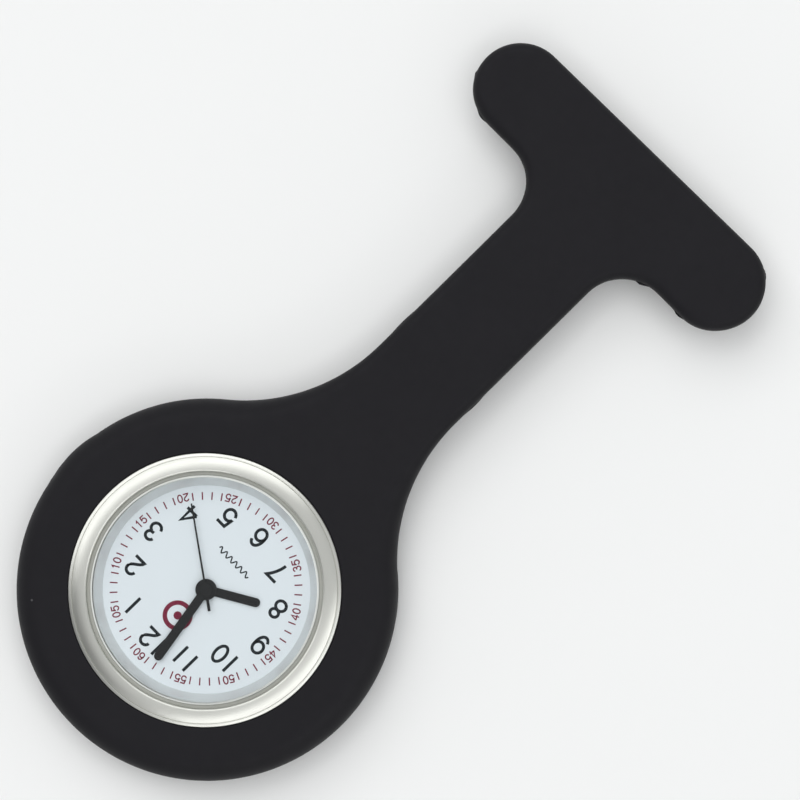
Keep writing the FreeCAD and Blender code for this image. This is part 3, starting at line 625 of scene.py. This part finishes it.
def settled(p):
    """Where a point of the straight outline lies once the bar leans and the strap bows."""
    lean = BAR_LEAN * smooth_step((p[1] - LEAN_FROM) / (LEAN_TO - LEAN_FROM))
    bow = min(1.0, max(0.0, (p[1] - BOW_FROM) / (BOW_TO - BOW_FROM)))
    x = p[0] * math.cos(lean) - (p[1] - BAR_Y) * math.sin(lean) + STRAP_BOW * math.sin(math.pi * bow)
    return (x, BAR_Y + p[0] * math.sin(lean) + (p[1] - BAR_Y) * math.cos(lean))


def edge_loops(bm, straight, points, shares):
    """Loops from the front face's rim over the rounded edge and the parting line to the back."""
    normals = outward(points)
    front = [STRAP_EDGE + (HEAD_EDGE - STRAP_EDGE) * (1 - smooth_step(s)) for s in shares]
    back = [STRAP_EDGE * smooth_step(s / 0.55) for s in shares]

    def loop(insets, heights):
        drawn = [(p[0] - n.x * d, p[1] - n.y * d) for p, n, d in zip(points, normals, insets)]
        return ring_of(bm, drawn, list(heights))

    loops = [loop([f + FACE_MARGIN for f in front], [HOLDER_TOP] * len(points))]
    for x, y in quarter(1):
        loops.append(loop([f * (1 - x) for f in front], [HOLDER_TOP - f * (1 - y) for f in front]))
    parting = [(HOLDER_TOP - f + STRAP_BACK + b) / 2 for f, b in zip(front, back)]
    still = [0.0] * len(points)
    loops.append(loop(still, [z + FLASH_T for z in parting]))
    loops.append(loop([-flash_at(p) for p in straight], parting))
    loops.append(loop(still, [z - FLASH_T for z in parting]))
    for x, y in quarter(1):
        loops.append(loop([b * (1 - y) for b in back], [STRAP_BACK + b * (1 - x) for b in back]))
    loops.append(loop([b + min(b, FACE_MARGIN) for b in back], [STRAP_BACK] * len(points)))
    return loops


def head_wall(bm, outline, top):
    """The head's side below the strap's back, rounded into the head's own back."""
    normals = outward(outline)
    wall = [top]
    for x, y in quarter(1):
        inset = HEAD_BACK_EDGE * (1 - y)
        wall.append(ring_of(bm, drawn_in(outline, normals, inset), HEAD_BACK + HEAD_BACK_EDGE * (1 - x)))
    inset = HEAD_BACK_EDGE + FACE_MARGIN
    wall.append(ring_of(bm, drawn_in(outline, normals, inset), HEAD_BACK))
    skin(bm, wall)
    return wall


def case_cavity(bm):
    """The stepped cavity for the case, from the front lip to the back mouth."""
    lip = 0.2
    mouth = BACK_R + 0.1
    mouth_z = 0.75
    profile = [(BEZEL_BORE + lip + FACE_MARGIN, HOLDER_TOP)]
    profile += oval(BEZEL_BORE + lip, HOLDER_TOP - lip, lip, lip, 90, 180, 18)
    profile += [(BEZEL_BORE, BEZEL_LOW - 0.05), (CASE_BORE, BEZEL_LOW - 0.05)]
    profile += [(CASE_BORE, mouth_z), (mouth, mouth_z)]
    profile += oval(mouth + lip, HEAD_BACK + lip, lip, lip, 180, 270, 18)
    profile.append((mouth + lip + FACE_MARGIN, HEAD_BACK))
    rings = [ring_of(bm, arc((0, 0), r, 0, 360, 2)[:-1], z) for r, z in profile]
    skin(bm, rings)
    return rings


def holder_shell(bm):
    """Front, edge, strap back and head as one closed skin with the stepped case cavity."""
    straight, shares, strap_count, under = holder_outline()
    points = [settled(p) for p in straight]
    loops = edge_loops(bm, straight, points, shares)
    skin(bm, loops[:-1])
    # strap's underside, closed by the head's wall under the neck
    corner = ring_of(bm, under, STRAP_BACK)
    inner, outer = loops[-1][:strap_count], loops[-2][:strap_count]
    skin(bm, [outer, inner], wrap=False)
    cap(bm, inner + list(reversed(corner)))
    head = points[strap_count - 1:] + [points[0]] + under
    wall = head_wall(bm, head, loops[-2][strap_count - 1:] + [loops[-2][0]] + corner)
    rings = case_cavity(bm)
    cap(bm, loops[0], rings[0])
    cap(bm, wall[-1], rings[-1])


def crown_pocket():
    """The room the crown turns and pulls out in, open to the back."""
    r = CROWN_R + 0.35
    depth = 4.0
    inner, outer = -CASE_BORE + 1.6, CROWN_OUT - 1.4
    slot = closed(arc((0, 0), r, 90, -90, 6), [(-depth, -r), (-depth, r)])
    pocket = solid_from(plate, [(-y, x) for x, y in slot][::-1], (0, inner - outer))
    pocket.data.transform(Matrix(((0, 0, 1, outer), (1, 0, 0, 0), (0, 1, 0, STEM_Z), (0, 0, 0, 1))))
    return pocket


def holder():
    body = solid_from(holder_shell)
    gap = 0.05
    around = rounded_box(half_span("pin_plate", "X") + gap, half_span("pin_plate", "Y") + gap, PIN_PLATE_R)
    recess = solid_from(plate, moved(around, 0, BAR_Y), (STRAP_BACK - 1, STRAP_BACK + PIN_PLATE_T))
    carved = combine(body, [crown_pocket(), recess], "DIFFERENCE")
    # two bands of silicone hold the brooch pin's plate in its recess
    band = rounded_box(1.5, 3.4, 0.5)
    band_x = 7.0
    band_span = (STRAP_BACK - 0.7, STRAP_BACK + 0.02)
    bands = [solid_from(plate, moved(band, side * band_x, BAR_Y), band_span, 0.3) for side in (-1, 1)]
    whole = combine(carved, bands, "UNION")
    return piece("holder_skin", whole, "root", "silicone", ["holder"], 40)


holder()


# Bezel, glass and what holds it

def bezel():
    """Domed ring: the top falls away outwards to a fine groove and a bright rim."""
    seat_r = BEZEL_R - 1.1
    seat_z = BEZEL_LOW + 0.95
    groove_r = BEZEL_R - 0.43
    lip_w = 0.22
    lip_t = 0.17
    rim_r = 0.14
    slope = 25.0
    dome_from = GLASS_BORE + lip_w
    dome_r = (groove_r - dome_from) / math.sin(math.radians(slope))
    dome = arc((dome_from, BEZEL_TOP - dome_r), dome_r, 90 - slope, 90, 2.5)
    groove_z = dome[0][1]
    rim = oval(BEZEL_R - rim_r, groove_z - 0.18, rim_r, rim_r, 0, 62, 10)
    groove = [(groove_r + 0.07, groove_z - 0.01), (groove_r + 0.03, groove_z - 0.07)]
    lip = oval(dome_from, BEZEL_TOP - lip_t, dome_from - GLASS_BORE, lip_t, 90, 180, 15)
    seat = [(GLASS_BORE, seat_z), (seat_r, seat_z), (seat_r, BEZEL_LOW), (BEZEL_R, BEZEL_LOW)]
    profile = joined(seat, rim, groove, dome, lip)
    return piece("bezel_ring", turned(new(), profile, 288), "root", "bezel_steel", ["bezel"])


def crystal():
    low, high = CRYSTAL_LOW, CRYSTAL_TOP
    profile = rounded([(0, low, 0), (CRYSTAL_R, low, 0.03), (CRYSTAL_R, high - CRYSTAL_BEVEL, 0.04),
                       (CRYSTAL_R - CRYSTAL_BEVEL, high, 0.04), (0, high, 0)], 3)
    return piece("crystal_glass", turned(new(), profile, 240), "root", "crystal_glass", ["crystal"], 25)


def crystal_gasket():
    low, high = span("crystal_gasket", "Z")
    profile = rounded([(CRYSTAL_R, low, 0), (GLASS_BORE, low, 0), (GLASS_BORE, high, 0.06),
                       (CRYSTAL_R, high, 0.12)], 4)
    return piece("gasket_ring", turned(new(), profile, 240), "root", "gasket", ["crystal_gasket"])


def dial_ring():
    foot, lip = 11.5, 12.4
    outer = span("dial_ring", "X")[1]
    profile = rounded([(foot, RING_LOW, 0), (outer, RING_LOW, 0), (outer, RING_TOP, 0), (lip, RING_TOP, 0.03),
                       (lip - 0.08, RING_TOP - 0.08, 0.03)], 4)
    return piece("rehaut_ring", turned(new(), profile, 240), "root", "ring_grey", ["dial_ring"])


bezel()
crystal()
crystal_gasket()
dial_ring()


# Dial print

# Digits as pen strokes, in millimetres about the digit's middle, at the size of the hour numerals
DIGITS = {
    "0": [closed(oval(0, 0, 0.60, 1.03, 90, 450))],
    "1": [[(-0.08, -1.14), (-0.08, 1.14)]],
    "2": [joined(oval(0.02, 0.49, 0.56, 0.54, 178, -22),
                 bend((0.54, 0.29), (0.36, -0.20), (-0.48, -0.40), (-0.60, -0.97), 8), [(0.73, -0.97)])],
    "3": [joined(oval(-0.02, 0.56, 0.52, 0.48, 172, -65), [(-0.18, 0.08)]),
          joined(oval(0.02, -0.48, 0.60, 0.56, 75, -170))],
    "4": [[(0.32, -1.14), (0.32, 0.98), (-0.68, -0.48)], [(-0.68, -0.48), (0.76, -0.48)]],
    "5": [joined([(0.73, 0.98), (-0.40, 0.98), (-0.55, 0.02)], oval(0.0, -0.36, 0.62, 0.67, 145, -166))],
    "6": [joined(oval(0.02, 0.0, 0.63, 1.04, 36, 180), oval(0.02, -0.36, 0.61, 0.67, 180, 540))],
    "7": [joined([(-0.78, 0.98)], bend((0.60, 0.98), (0.15, 0.42), (-0.24, -0.40), (-0.31, -1.14), 8))],
    "8": [closed(oval(0, 0.58, 0.50, 0.46, 90, 450)), closed(oval(0, -0.47, 0.61, 0.57, 90, 450))],
}
DIGITS["9"] = [[(-x, -y) for x, y in stroke] for stroke in DIGITS["6"]]
TRACK_DIGITS = {**DIGITS, "1": [[(-0.42, 0.50), (0.05, 0.98), (0.05, -1.14)]]}
LOOPS = {"0": (0,), "8": (0, 1)}
NUMERAL_STROKE = 0.34
NUMERAL_STEP = 1.50

# Where each hour numeral is printed: right of and above the dial's middle, with 12 at the top
NUMERALS = {1: (4.40, 7.08), 2: (7.32, 3.94), 3: (8.60, -0.23), 4: (7.10, -4.33), 5: (3.93, -7.22),
            6: (-0.08, -8.15), 7: (-4.09, -6.94), 8: (-7.18, -4.14), 9: (-8.61, 0.02), 10: (-6.99, 3.86),
            11: (-3.87, 7.02), 12: (-0.14, 8.25)}
TRACK_R = 10.32
TRACK_SCALE = 0.40
TRACK_STEP = 0.70
TRACK_STROKE = 0.145
TICK = (9.82, 10.68)
TICK_W = 0.145
INK_T = 0.015
INK = (DIAL_TOP, DIAL_TOP + INK_T)
EMBLEM = (0.07, 4.3)
EMBLEM_R = 1.42
EMBLEM_STROKE = 0.5
EMBLEM_DOT_R = 0.46
WAVE = (-0.07, -4.25)
WAVE_LENGTH = 4.6
WAVE_HEIGHT = 0.27
WAVE_STROKE = 0.15
PRINT_SHIFT = (0.10, -0.02)


def printed(x, y):
    """The point of the dial that is right of and above its middle, where the print is a touch off centre."""
    return (-x - PRINT_SHIFT[0], -y - PRINT_SHIFT[1])


def clockwise(r, clock):
    """A point at a clock angle in degrees, right of and above the dial's middle."""
    a = math.radians(clock)
    return (r * math.sin(a), r * math.cos(a))


def write(bm, text, centre, tops, digits, size, step, stroke):
    """Digits centred on a point, with their tops towards a clock angle."""
    up = clockwise(1, tops)
    right = clockwise(1, tops + 90)
    for i, digit in enumerate(text):
        shift = (i - (len(text) - 1) / 2) * step
        for k, path in enumerate(digits[digit]):
            placed = [printed(centre[0] + (x * size + shift) * right[0] + y * size * up[0],
                              centre[1] + (x * size + shift) * right[1] + y * size * up[1]) for x, y in path]
            top = DIAL_TOP + INK_T - 0.002 * k
            ribbon(bm, placed, stroke, (DIAL_TOP, top), k in LOOPS.get(digit, ()))


def hour_numerals():
    bm = new()
    for hour, place in NUMERALS.items():
        write(bm, str(hour), place, 0, DIGITS, 1.0, NUMERAL_STEP, NUMERAL_STROKE)
    return piece("hour_numerals", bm, "root", "dial_print")


def minute_track():
    bm = new()
    for minute in range(1, 61):
        clock = minute * 6.0
        if minute % 5:
            ribbon(bm, [printed(*clockwise(r, clock)) for r in TICK], TICK_W, INK)
            continue
        flipped = 20 <= minute <= 40
        write(bm, f"{minute:02d}", clockwise(TRACK_R, clock), clock + 180 * flipped,
              TRACK_DIGITS, TRACK_SCALE, TRACK_STEP, TRACK_STROKE)
    return piece("minute_track", bm, "root", "dial_red")


def dial_emblem():
    """A plain ring with a dot, where the original has its mark."""
    bm = new()
    centre = printed(*EMBLEM)
    ribbon(bm, moved(circle(EMBLEM_R), *centre), EMBLEM_STROKE, INK, True)
    plate(bm, moved(circle(EMBLEM_DOT_R, 12), *centre), INK)
    return piece("dial_emblem", bm, "root", "dial_red")


def dial_wave():
    """A short wavy line, where the original has a word."""
    bm = new()
    waves = 6
    count = waves * 12
    path = []
    for i in range(count + 1):
        share = i / count
        path.append((WAVE_LENGTH * (share - 0.5), WAVE_HEIGHT * math.sin(2 * math.pi * waves * share)))
    ribbon(bm, moved(path, *printed(*WAVE)), WAVE_STROKE, INK)
    return piece("dial_wave", bm, "root", "dial_print")


hour_numerals()
minute_track()
dial_emblem()
dial_wave()


# Hands

def hand_turn(node):
    """The direction a hand points in and its length, from the far end of its CAD mesh."""
    tip = 0.3
    points = [v.co.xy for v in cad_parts[node].data.vertices]
    length = max(p.length for p in points)
    end = sum((p for p in points if p.length > length - tip * MM), Vector((0, 0)))
    return math.degrees(math.atan2(end.y, end.x)), length / MM


def baton_outline(length, r, hub_r):
    """A round hub with one round-ended arm along +X."""
    a = math.degrees(math.asin(r / hub_r))
    return closed(arc((0, 0), hub_r, a, 360 - a, 6), arc((length - r, 0), r, -90, 90, 10))


def hand(name, node, body, outline, bore_r, pipe_r, edge, thick):
    """A stamped hand with a bevelled edge and its pipe; a bore of 0 leaves the hub closed."""
    pipe_low, top = span(node, "Z")
    low = top - thick
    bm = new()
    plate(bm, outline, (low, top), edge, [circle(bore_r, 10)] if bore_r else ())
    pipe_bore = bore_r or pipe_r * 0.4
    pipe_top = low + 0.01
    turned(bm, [(pipe_bore, pipe_low), (pipe_r, pipe_low), (pipe_r, pipe_top), (pipe_bore, pipe_top)], 48)
    bmesh.ops.rotate(bm, verts=bm.verts, matrix=Matrix.Rotation(math.radians(hand_turn(node)[0]), 3, "Z"))
    return piece(name, bm, body, "hand_black", [node], 30)


def hands():
    arm_r = 0.5
    hub_r = 1.18
    for kind, body, bore_r in (("hour", "hours", 0.75), ("minute", "minutes", 0.42)):
        node = kind + "_hand"
        outline = baton_outline(hand_turn(node)[1], arm_r, hub_r)
        hand(kind + "_baton", node, body, outline, bore_r, bore_r + 0.15, edge=0.05, thick=0.15)


def second_hand():
    """A narrow needle that tapers to its tip, with a wider tail behind the hub."""
    hub = 0.75
    root_w = 0.11
    tip_w = 0.09
    tail_w = 0.16
    tail = -2.4
    length = hand_turn("second_hand")[1]
    root_a = math.degrees(math.asin(root_w / hub))
    tail_a = math.degrees(math.asin(tail_w / hub))
    outline = closed(arc((0, 0), hub, root_a, 180 - tail_a, 8), [(tail, tail_w), (tail, -tail_w)],
                     arc((0, 0), hub, 180 + tail_a, 360 - root_a, 8), [(length, -tip_w), (length, tip_w)])
    hand("second_needle", "second_hand", "seconds", outline, 0, 0.32, edge=0.03, thick=0.10)


hands()
second_hand()


# Case back and crown

def case_back():
    """Snap-on back: brushed centre, a fine turned groove, a bevelled rim and a notch to lever it off."""
    flat = 11.2
    groove = (9.5, 10.0)
    groove_t = 0.12
    slope = 0.1
    dish_t = 0.5
    rim = (12.5, 12.9)
    rim_low, rim_top = 0.8, 1.5
    profile = rounded([(0, 0, 0), (groove[0], 0, 0.03), (groove[0] + slope, groove_t, 0.03),
                       (groove[1] - slope, groove_t, 0.03), (groove[1], 0, 0.03), (flat, 0, 0.3),
                       (BACK_R, 0.55, 0.05), (BACK_R, rim_low, 0.05), (rim[1], rim_low, 0),
                       (rim[1], rim_top, 0.05), (rim[0], rim_top, 0.05), (rim[0], dish_t, 0),
                       (0, dish_t, 0)], 4)
    disc = solid_from(turned, profile, 240)
    notch = solid_from(plate, moved(rounded_box(0.8, 1.0, 0.3), BACK_R + 0.3, 0), (0.3, rim_low - 0.01))
    notch.data.transform(Matrix.Rotation(math.radians(45), 4, "Z"))
    carved = combine(disc, [notch], "DIFFERENCE")
    return piece("back_cover", carved, "root", "case_steel", ["case_back"], 30)


def fluted(r, depth, flutes):
    """A circle with shallow rounded flutes."""
    points = []
    for i in range(flutes * 8):
        a = 2 * math.pi * i / (flutes * 8)
        here = r - depth * max(0.0, math.cos(flutes * a)) ** 2
        points.append((here * math.cos(a), here * math.sin(a)))
    return points


def crown():
    """Fluted knob with a domed cap, hollow over the stem's tube."""
    flutes = 24
    flute_depth = 0.09
    length = CROWN_IN - CROWN_OUT
    hollow_r = 1.15
    hollow = length - 1.5
    stem_r = 0.35
    stem_end = length - 1.65
    # radius, distance from the cap, and how much of the fluting shows there
    profile = [(CROWN_R - 1.0, 0.0, 0), (CROWN_R - 0.55, 0.02, 0.1), (CROWN_R - 0.32, 0.08, 0.4),
               (CROWN_R - 0.12, 0.2, 0.8), (CROWN_R - 0.03, 0.32, 1), (CROWN_R, 0.42, 1),
               (CROWN_R, length - 0.1, 1), (CROWN_R - 0.05, length, 1), (hollow_r, length, 0),
               (hollow_r, hollow, 0), (stem_r, hollow, 0), (stem_r, stem_end, 0)]
    bm = new()
    loops = [ring_of(bm, fluted(r, flute_depth * share, flutes), z) for r, z, share in profile]
    skin(bm, loops)
    cap(bm, loops[0])
    cap(bm, loops[-1])
    swap = Matrix(((0, 0, 1, CROWN_OUT), (1, 0, 0, 0), (0, 1, 0, STEM_Z), (0, 0, 0, 1)))
    bmesh.ops.transform(bm, matrix=swap, verts=bm.verts)
    return piece("crown_knob", bm, "crown", "case_steel", ["crown"], 30)


case_back()
crown()


# Brooch pin

def upright(bm, x, y, z):
    """Stands a flat shape made in XY up in XZ, about a point, its thickness along Y."""
    stand = Matrix(((1, 0, 0, x), (0, 0, 1, y), (0, 1, 0, z), (0, 0, 0, 1)))
    bmesh.ops.transform(bm, matrix=stand, verts=bm.verts)
    return bm


def cross(bm, x, y, z):
    """Turns a flat shape made in XY into a YZ section, about a point, its thickness along X."""
    stand = Matrix(((0, 0, 1, x), (1, 0, 0, y), (0, 1, 0, z), (0, 0, 0, 1)))
    bmesh.ops.transform(bm, matrix=stand, verts=bm.verts)
    return bm


def add_all(*shapes):
    """One bmesh from several."""
    whole = shapes[0]
    for other in shapes[1:]:
        mesh = bpy.data.meshes.new("part")
        other.to_mesh(mesh)
        other.free()
        whole.from_mesh(mesh)
        bpy.data.meshes.remove(mesh)
    return whole


def pin_plate():
    """Stamped steel strip with two ears bent back for the needle's rivet."""
    box = rounded_box(half_span("pin_plate", "X"), half_span("pin_plate", "Y"), PIN_PLATE_R)
    strip = plate(new(), moved(box, 0, BAR_Y), (STRAP_BACK, STRAP_BACK + PIN_PLATE_T), 0.1)
    rise = STRAP_BACK - PIN_Z + 0.1
    ear = closed(arc((0, 0), EAR_R, 180, 360, 6), [(EAR_R, rise), (-EAR_R, rise)])
    ears = []
    for side in (-1, 1):
        shape = plate(new(), ear, (-EAR_T / 2, EAR_T / 2), 0.08, [circle(RIVET_R, 15)])
        ears.append(upright(shape, PIN_HINGE_X, BAR_Y + side * EAR_Y, PIN_Z))
    return piece("pin_base", add_all(strip, *ears), "root", "pin_steel", ["pin_plate"], 30)


def pin_rivet():
    """Domed rivet through the ears."""
    head_r = 0.75
    face = EAR_Y + EAR_T / 2
    end = face + 0.25
    profile = rounded([(0, -end, 0), (head_r, -end, 0.2), (head_r, -face, 0.03), (RIVET_R, -face, 0),
                       (RIVET_R, face, 0), (head_r, face, 0.03), (head_r, end, 0.2), (0, end, 0)], 4)
    bm = upright(turned(new(), profile, 64), PIN_HINGE_X, BAR_Y, PIN_Z)
    return piece("pin_rivet_turned", bm, "root", "screw_steel", ["pin_rivet"], 30)


def pin_needle():
    """Steel needle: a rolled eye, a tapered root, a straight shaft and a long point."""
    tip = span("pin_needle", "X")[1] - PIN_HINGE_X
    bore_r, eye_r, eye_w = 0.42, 1.0, 0.68
    eye = rounded([(bore_r, -eye_w, 0.04), (eye_r, -eye_w, 0.1), (eye_r, eye_w, 0.1),
                   (bore_r, eye_w, 0.04)], 4)
    roll = upright(turned(new(), eye, 64), 0, 0, 0)
    # radius and distance from the hinge, through the root, the shaft and the point
    profile = [(0.0, 0.6), (0.62, 0.6), (0.60, 0.9), (0.50, 1.35), (NEEDLE_R, 1.7), (NEEDLE_R, 24.3),
               (0.37, 24.9), (0.28, 25.8), (0.17, 26.6), (0.10, tip - 0.06), (0.06, tip - 0.01), (0.0, tip)]
    wire = cross(turned(new(), profile, 48), 0, 0, 0)
    bm = add_all(roll, wire)
    bmesh.ops.translate(bm, vec=(PIN_HINGE_X, BAR_Y, PIN_Z), verts=bm.verts)
    return piece("pin_wire", bm, "needle", "pin_steel", ["pin_needle"], 30, finish="screw_steel")


def section(bm, outline, x_span):
    """A plate that fills an outline drawn in YZ about the pin's line, over a stretch of X."""
    plate(bm, outline, (0, x_span[1] - x_span[0]))
    return cross(bm, x_span[0], BAR_Y, PIN_Z)


def pin_catch():
    """Open tube for the needle's tip, with a neck up to the plate and a window for the tab."""
    x_low, x_high = span("pin_catch", "X")
    bore_r = 1.1
    neck_x = 0.9
    slit, window_slit = 27, 80
    overlap = 0.02
    outer_r = PIN_Z / math.cos(math.radians(slit))
    rise = STRAP_BACK - PIN_Z + 0.05
    neck = math.degrees(math.acos(neck_x / outer_r))
    window = (x_low + 0.9, x_high - 0.9)
    middle = (window[0] - overlap, window[1] + overlap)
    parts = []
    for x_span, half_open in (((x_low, window[0]), slit), (middle, window_slit), ((window[1], x_high), slit)):
        start, end = -90 + half_open, 270 - half_open
        outline = closed(arc((0, 0), outer_r, start, neck, 6), [(neck_x, rise), (-neck_x, rise)],
                         arc((0, 0), outer_r, 180 - neck, end, 6), arc((0, 0), bore_r, end, start, 6))
        parts.append(solid_from(section, outline, x_span))
    whole = combine(parts[0], parts[1:], "UNION")
    return piece("pin_hook", whole, "root", "pin_steel", ["pin_catch"], 30)


def pin_lock():
    """Turning barrel inside the catch, slotted for the needle, with a thumb tab."""
    x_low, x_high = span("pin_lock", "X")
    length = x_high - x_low
    bore_r, barrel_r, slot = 0.55, 1.05, 0.46
    half = math.degrees(math.asin(slot / bore_r))
    outer_half = math.degrees(math.asin(slot / barrel_r))
    outline = closed(arc((0, 0), barrel_r, -90 + outer_half, 270 - outer_half, 6),
                     arc((0, 0), bore_r, 270 - half, -90 + half, 6))
    barrel = cross(plate(new(), outline, (0, length), 0.06), x_low, BAR_Y, PIN_Z)
    tab_gap = 0.85
    tab = plate(new(), moved(rounded_box(0.2, 0.75, 0.19), 0, -1.5), (0, length - 2 * tab_gap), 0.08)
    bmesh.ops.rotate(tab, verts=tab.verts, matrix=Matrix.Rotation(math.radians(-60), 3, "Z"))
    cross(tab, x_low + tab_gap, BAR_Y, PIN_Z)
    whole = add_all(barrel, tab)
    return piece("pin_barrel", whole, "lock", "pin_steel", ["pin_lock"], 30, finish="screw_steel")


pin_plate()
pin_rivet()
pin_needle()
pin_catch()
pin_lock()


# CAD parts that stay get the same finishes

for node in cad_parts.values():
    for place in node.material_slots:
        kind = place.material.name.split(".")[0] if place.material else None
        if kind in FINISHES:
            place.material = FINISHES[kind]


# Floor, light and camera

# The point looked at, the camera's place above it, the width in view and the watch's turn in the picture
VIEW_CENTRE = (0.06, 29.94, 7.0)
VIEW_FROM = (18.0, 3.7, 380.0)
VIEW_WIDTH = 87.7
VIEW_TURN = math.radians(44.33)
RIGHT = Vector((math.sin(VIEW_TURN), math.cos(VIEW_TURN), 0))
UP = Vector((-RIGHT.y, RIGHT.x, 0))
ROOM_LIGHT = 0.55
DARK_SIDE = (Vector((0, 0, 0.94)) - RIGHT.to_3d() - UP.to_3d() * 0.35).normalized()
LAMP_DISTANCE = 0.9
FLOOR_SIZE = 3.0
FLOOR_GAP = 0.00002


def floor():
    bm = new()
    bmesh.ops.create_grid(bm, x_segments=4, y_segments=4, size=FLOOR_SIZE)
    mesh = bpy.data.meshes.new("floor")
    bm.to_mesh(mesh)
    bm.free()
    obj = bpy.data.objects.new("floor", mesh)
    obj.location = (0, 0, -FLOOR_GAP)
    bpy.context.scene.collection.objects.link(obj)
    n = Nodes("floor_white")
    tone = n.blend(n.noise(9, 2), (0.835, 0.84, 0.835, 1), (0.855, 0.86, 0.855, 1))
    n.bump(n.noise(900, 3), 0.00002, 0.3)
    mesh.materials.append(n.finish(Base_Color=tone, Roughness=0.9, Specular_IOR_Level=0.1))


def softbox(name, towards, height, size, power, seen="both"):
    """A rectangular lamp that faces the middle of the watch, for matt surfaces, glossy ones or both."""
    data = bpy.data.lights.new(name, "AREA")
    data.shape = "RECTANGLE"
    data.size, data.size_y = size
    data.energy = power
    obj = bpy.data.objects.new(name, data)
    obj.visible_diffuse = seen != "gloss"
    obj.visible_glossy = seen != "matt"
    target = Vector(VIEW_CENTRE) * MM
    obj.location = target + Vector((towards.x, towards.y, height)).normalized() * LAMP_DISTANCE
    obj.rotation_mode = "QUATERNION"
    obj.rotation_quaternion = (obj.location - target).to_track_quat("Z", "Y")
    bpy.context.scene.collection.objects.link(obj)


def studio():
    """Even light all round, but for a darker side of the room on the picture's left."""
    world = bpy.data.worlds.new("studio")
    bpy.context.scene.world = world
    world.use_nodes = True
    nodes, links = world.node_tree.nodes, world.node_tree.links
    place = nodes.new("ShaderNodeTexCoord")
    towards = nodes.new("ShaderNodeVectorMath")
    towards.operation = "DOT_PRODUCT"
    towards.inputs[1].default_value = DARK_SIDE
    share = nodes.new("ShaderNodeMapRange")
    share.interpolation_type = "SMOOTHSTEP"
    share.inputs["From Min"].default_value = 0.89
    share.inputs["From Max"].default_value = 0.99
    share.inputs["To Min"].default_value = ROOM_LIGHT
    share.inputs["To Max"].default_value = ROOM_LIGHT * 0.25
    room = nodes["Background"]
    room.inputs["Color"].default_value = (0.98, 0.99, 1.0, 1)
    links.new(place.outputs["Generated"], towards.inputs[0])
    links.new(towards.outputs["Value"], share.inputs["Value"])
    links.new(share.outputs["Result"], room.inputs["Strength"])


def lights():
    studio()
    top = UP - RIGHT * 0.4
    bottom = RIGHT * 0.55 - UP
    softbox("top_panel", top, 1.45, (1.8, 0.55), 3.7, "gloss")
    softbox("bottom_panel", bottom, 1.35, (1.35, 0.4), 2.3, "gloss")
    softbox("overhead_panel", Vector((0, 0)), 1.0, (1.2, 1.2), 0.5, "gloss")
    softbox("top_fill", top, 1.45, (0.9, 0.6), 3.4, "matt")
    softbox("bottom_fill", bottom, 1.35, (0.9, 0.6), 1.4, "matt")
    softbox("overhead_fill", Vector((0, 0)), 1.0, (0.9, 0.9), 5.9, "matt")


def camera():
    data = bpy.data.cameras.new("camera")
    data.sensor_width = 36.0
    data.lens = 36.0 * VIEW_FROM[2] / VIEW_WIDTH
    data.clip_start = 0.01
    data.clip_end = 10.0
    obj = bpy.data.objects.new("camera", data)
    back = Vector(VIEW_FROM).normalized()
    right = (RIGHT - back * RIGHT.dot(back)).normalized()
    turn = Matrix((right, back.cross(right), back)).transposed()
    obj.matrix_world = Matrix.Translation((Vector(VIEW_CENTRE) + Vector(VIEW_FROM)) * MM) @ turn.to_4x4()
    bpy.context.scene.collection.objects.link(obj)
    bpy.context.scene.camera = obj


floor()
lights()
camera()
bpy.context.scene.view_settings.view_transform = "Standard"
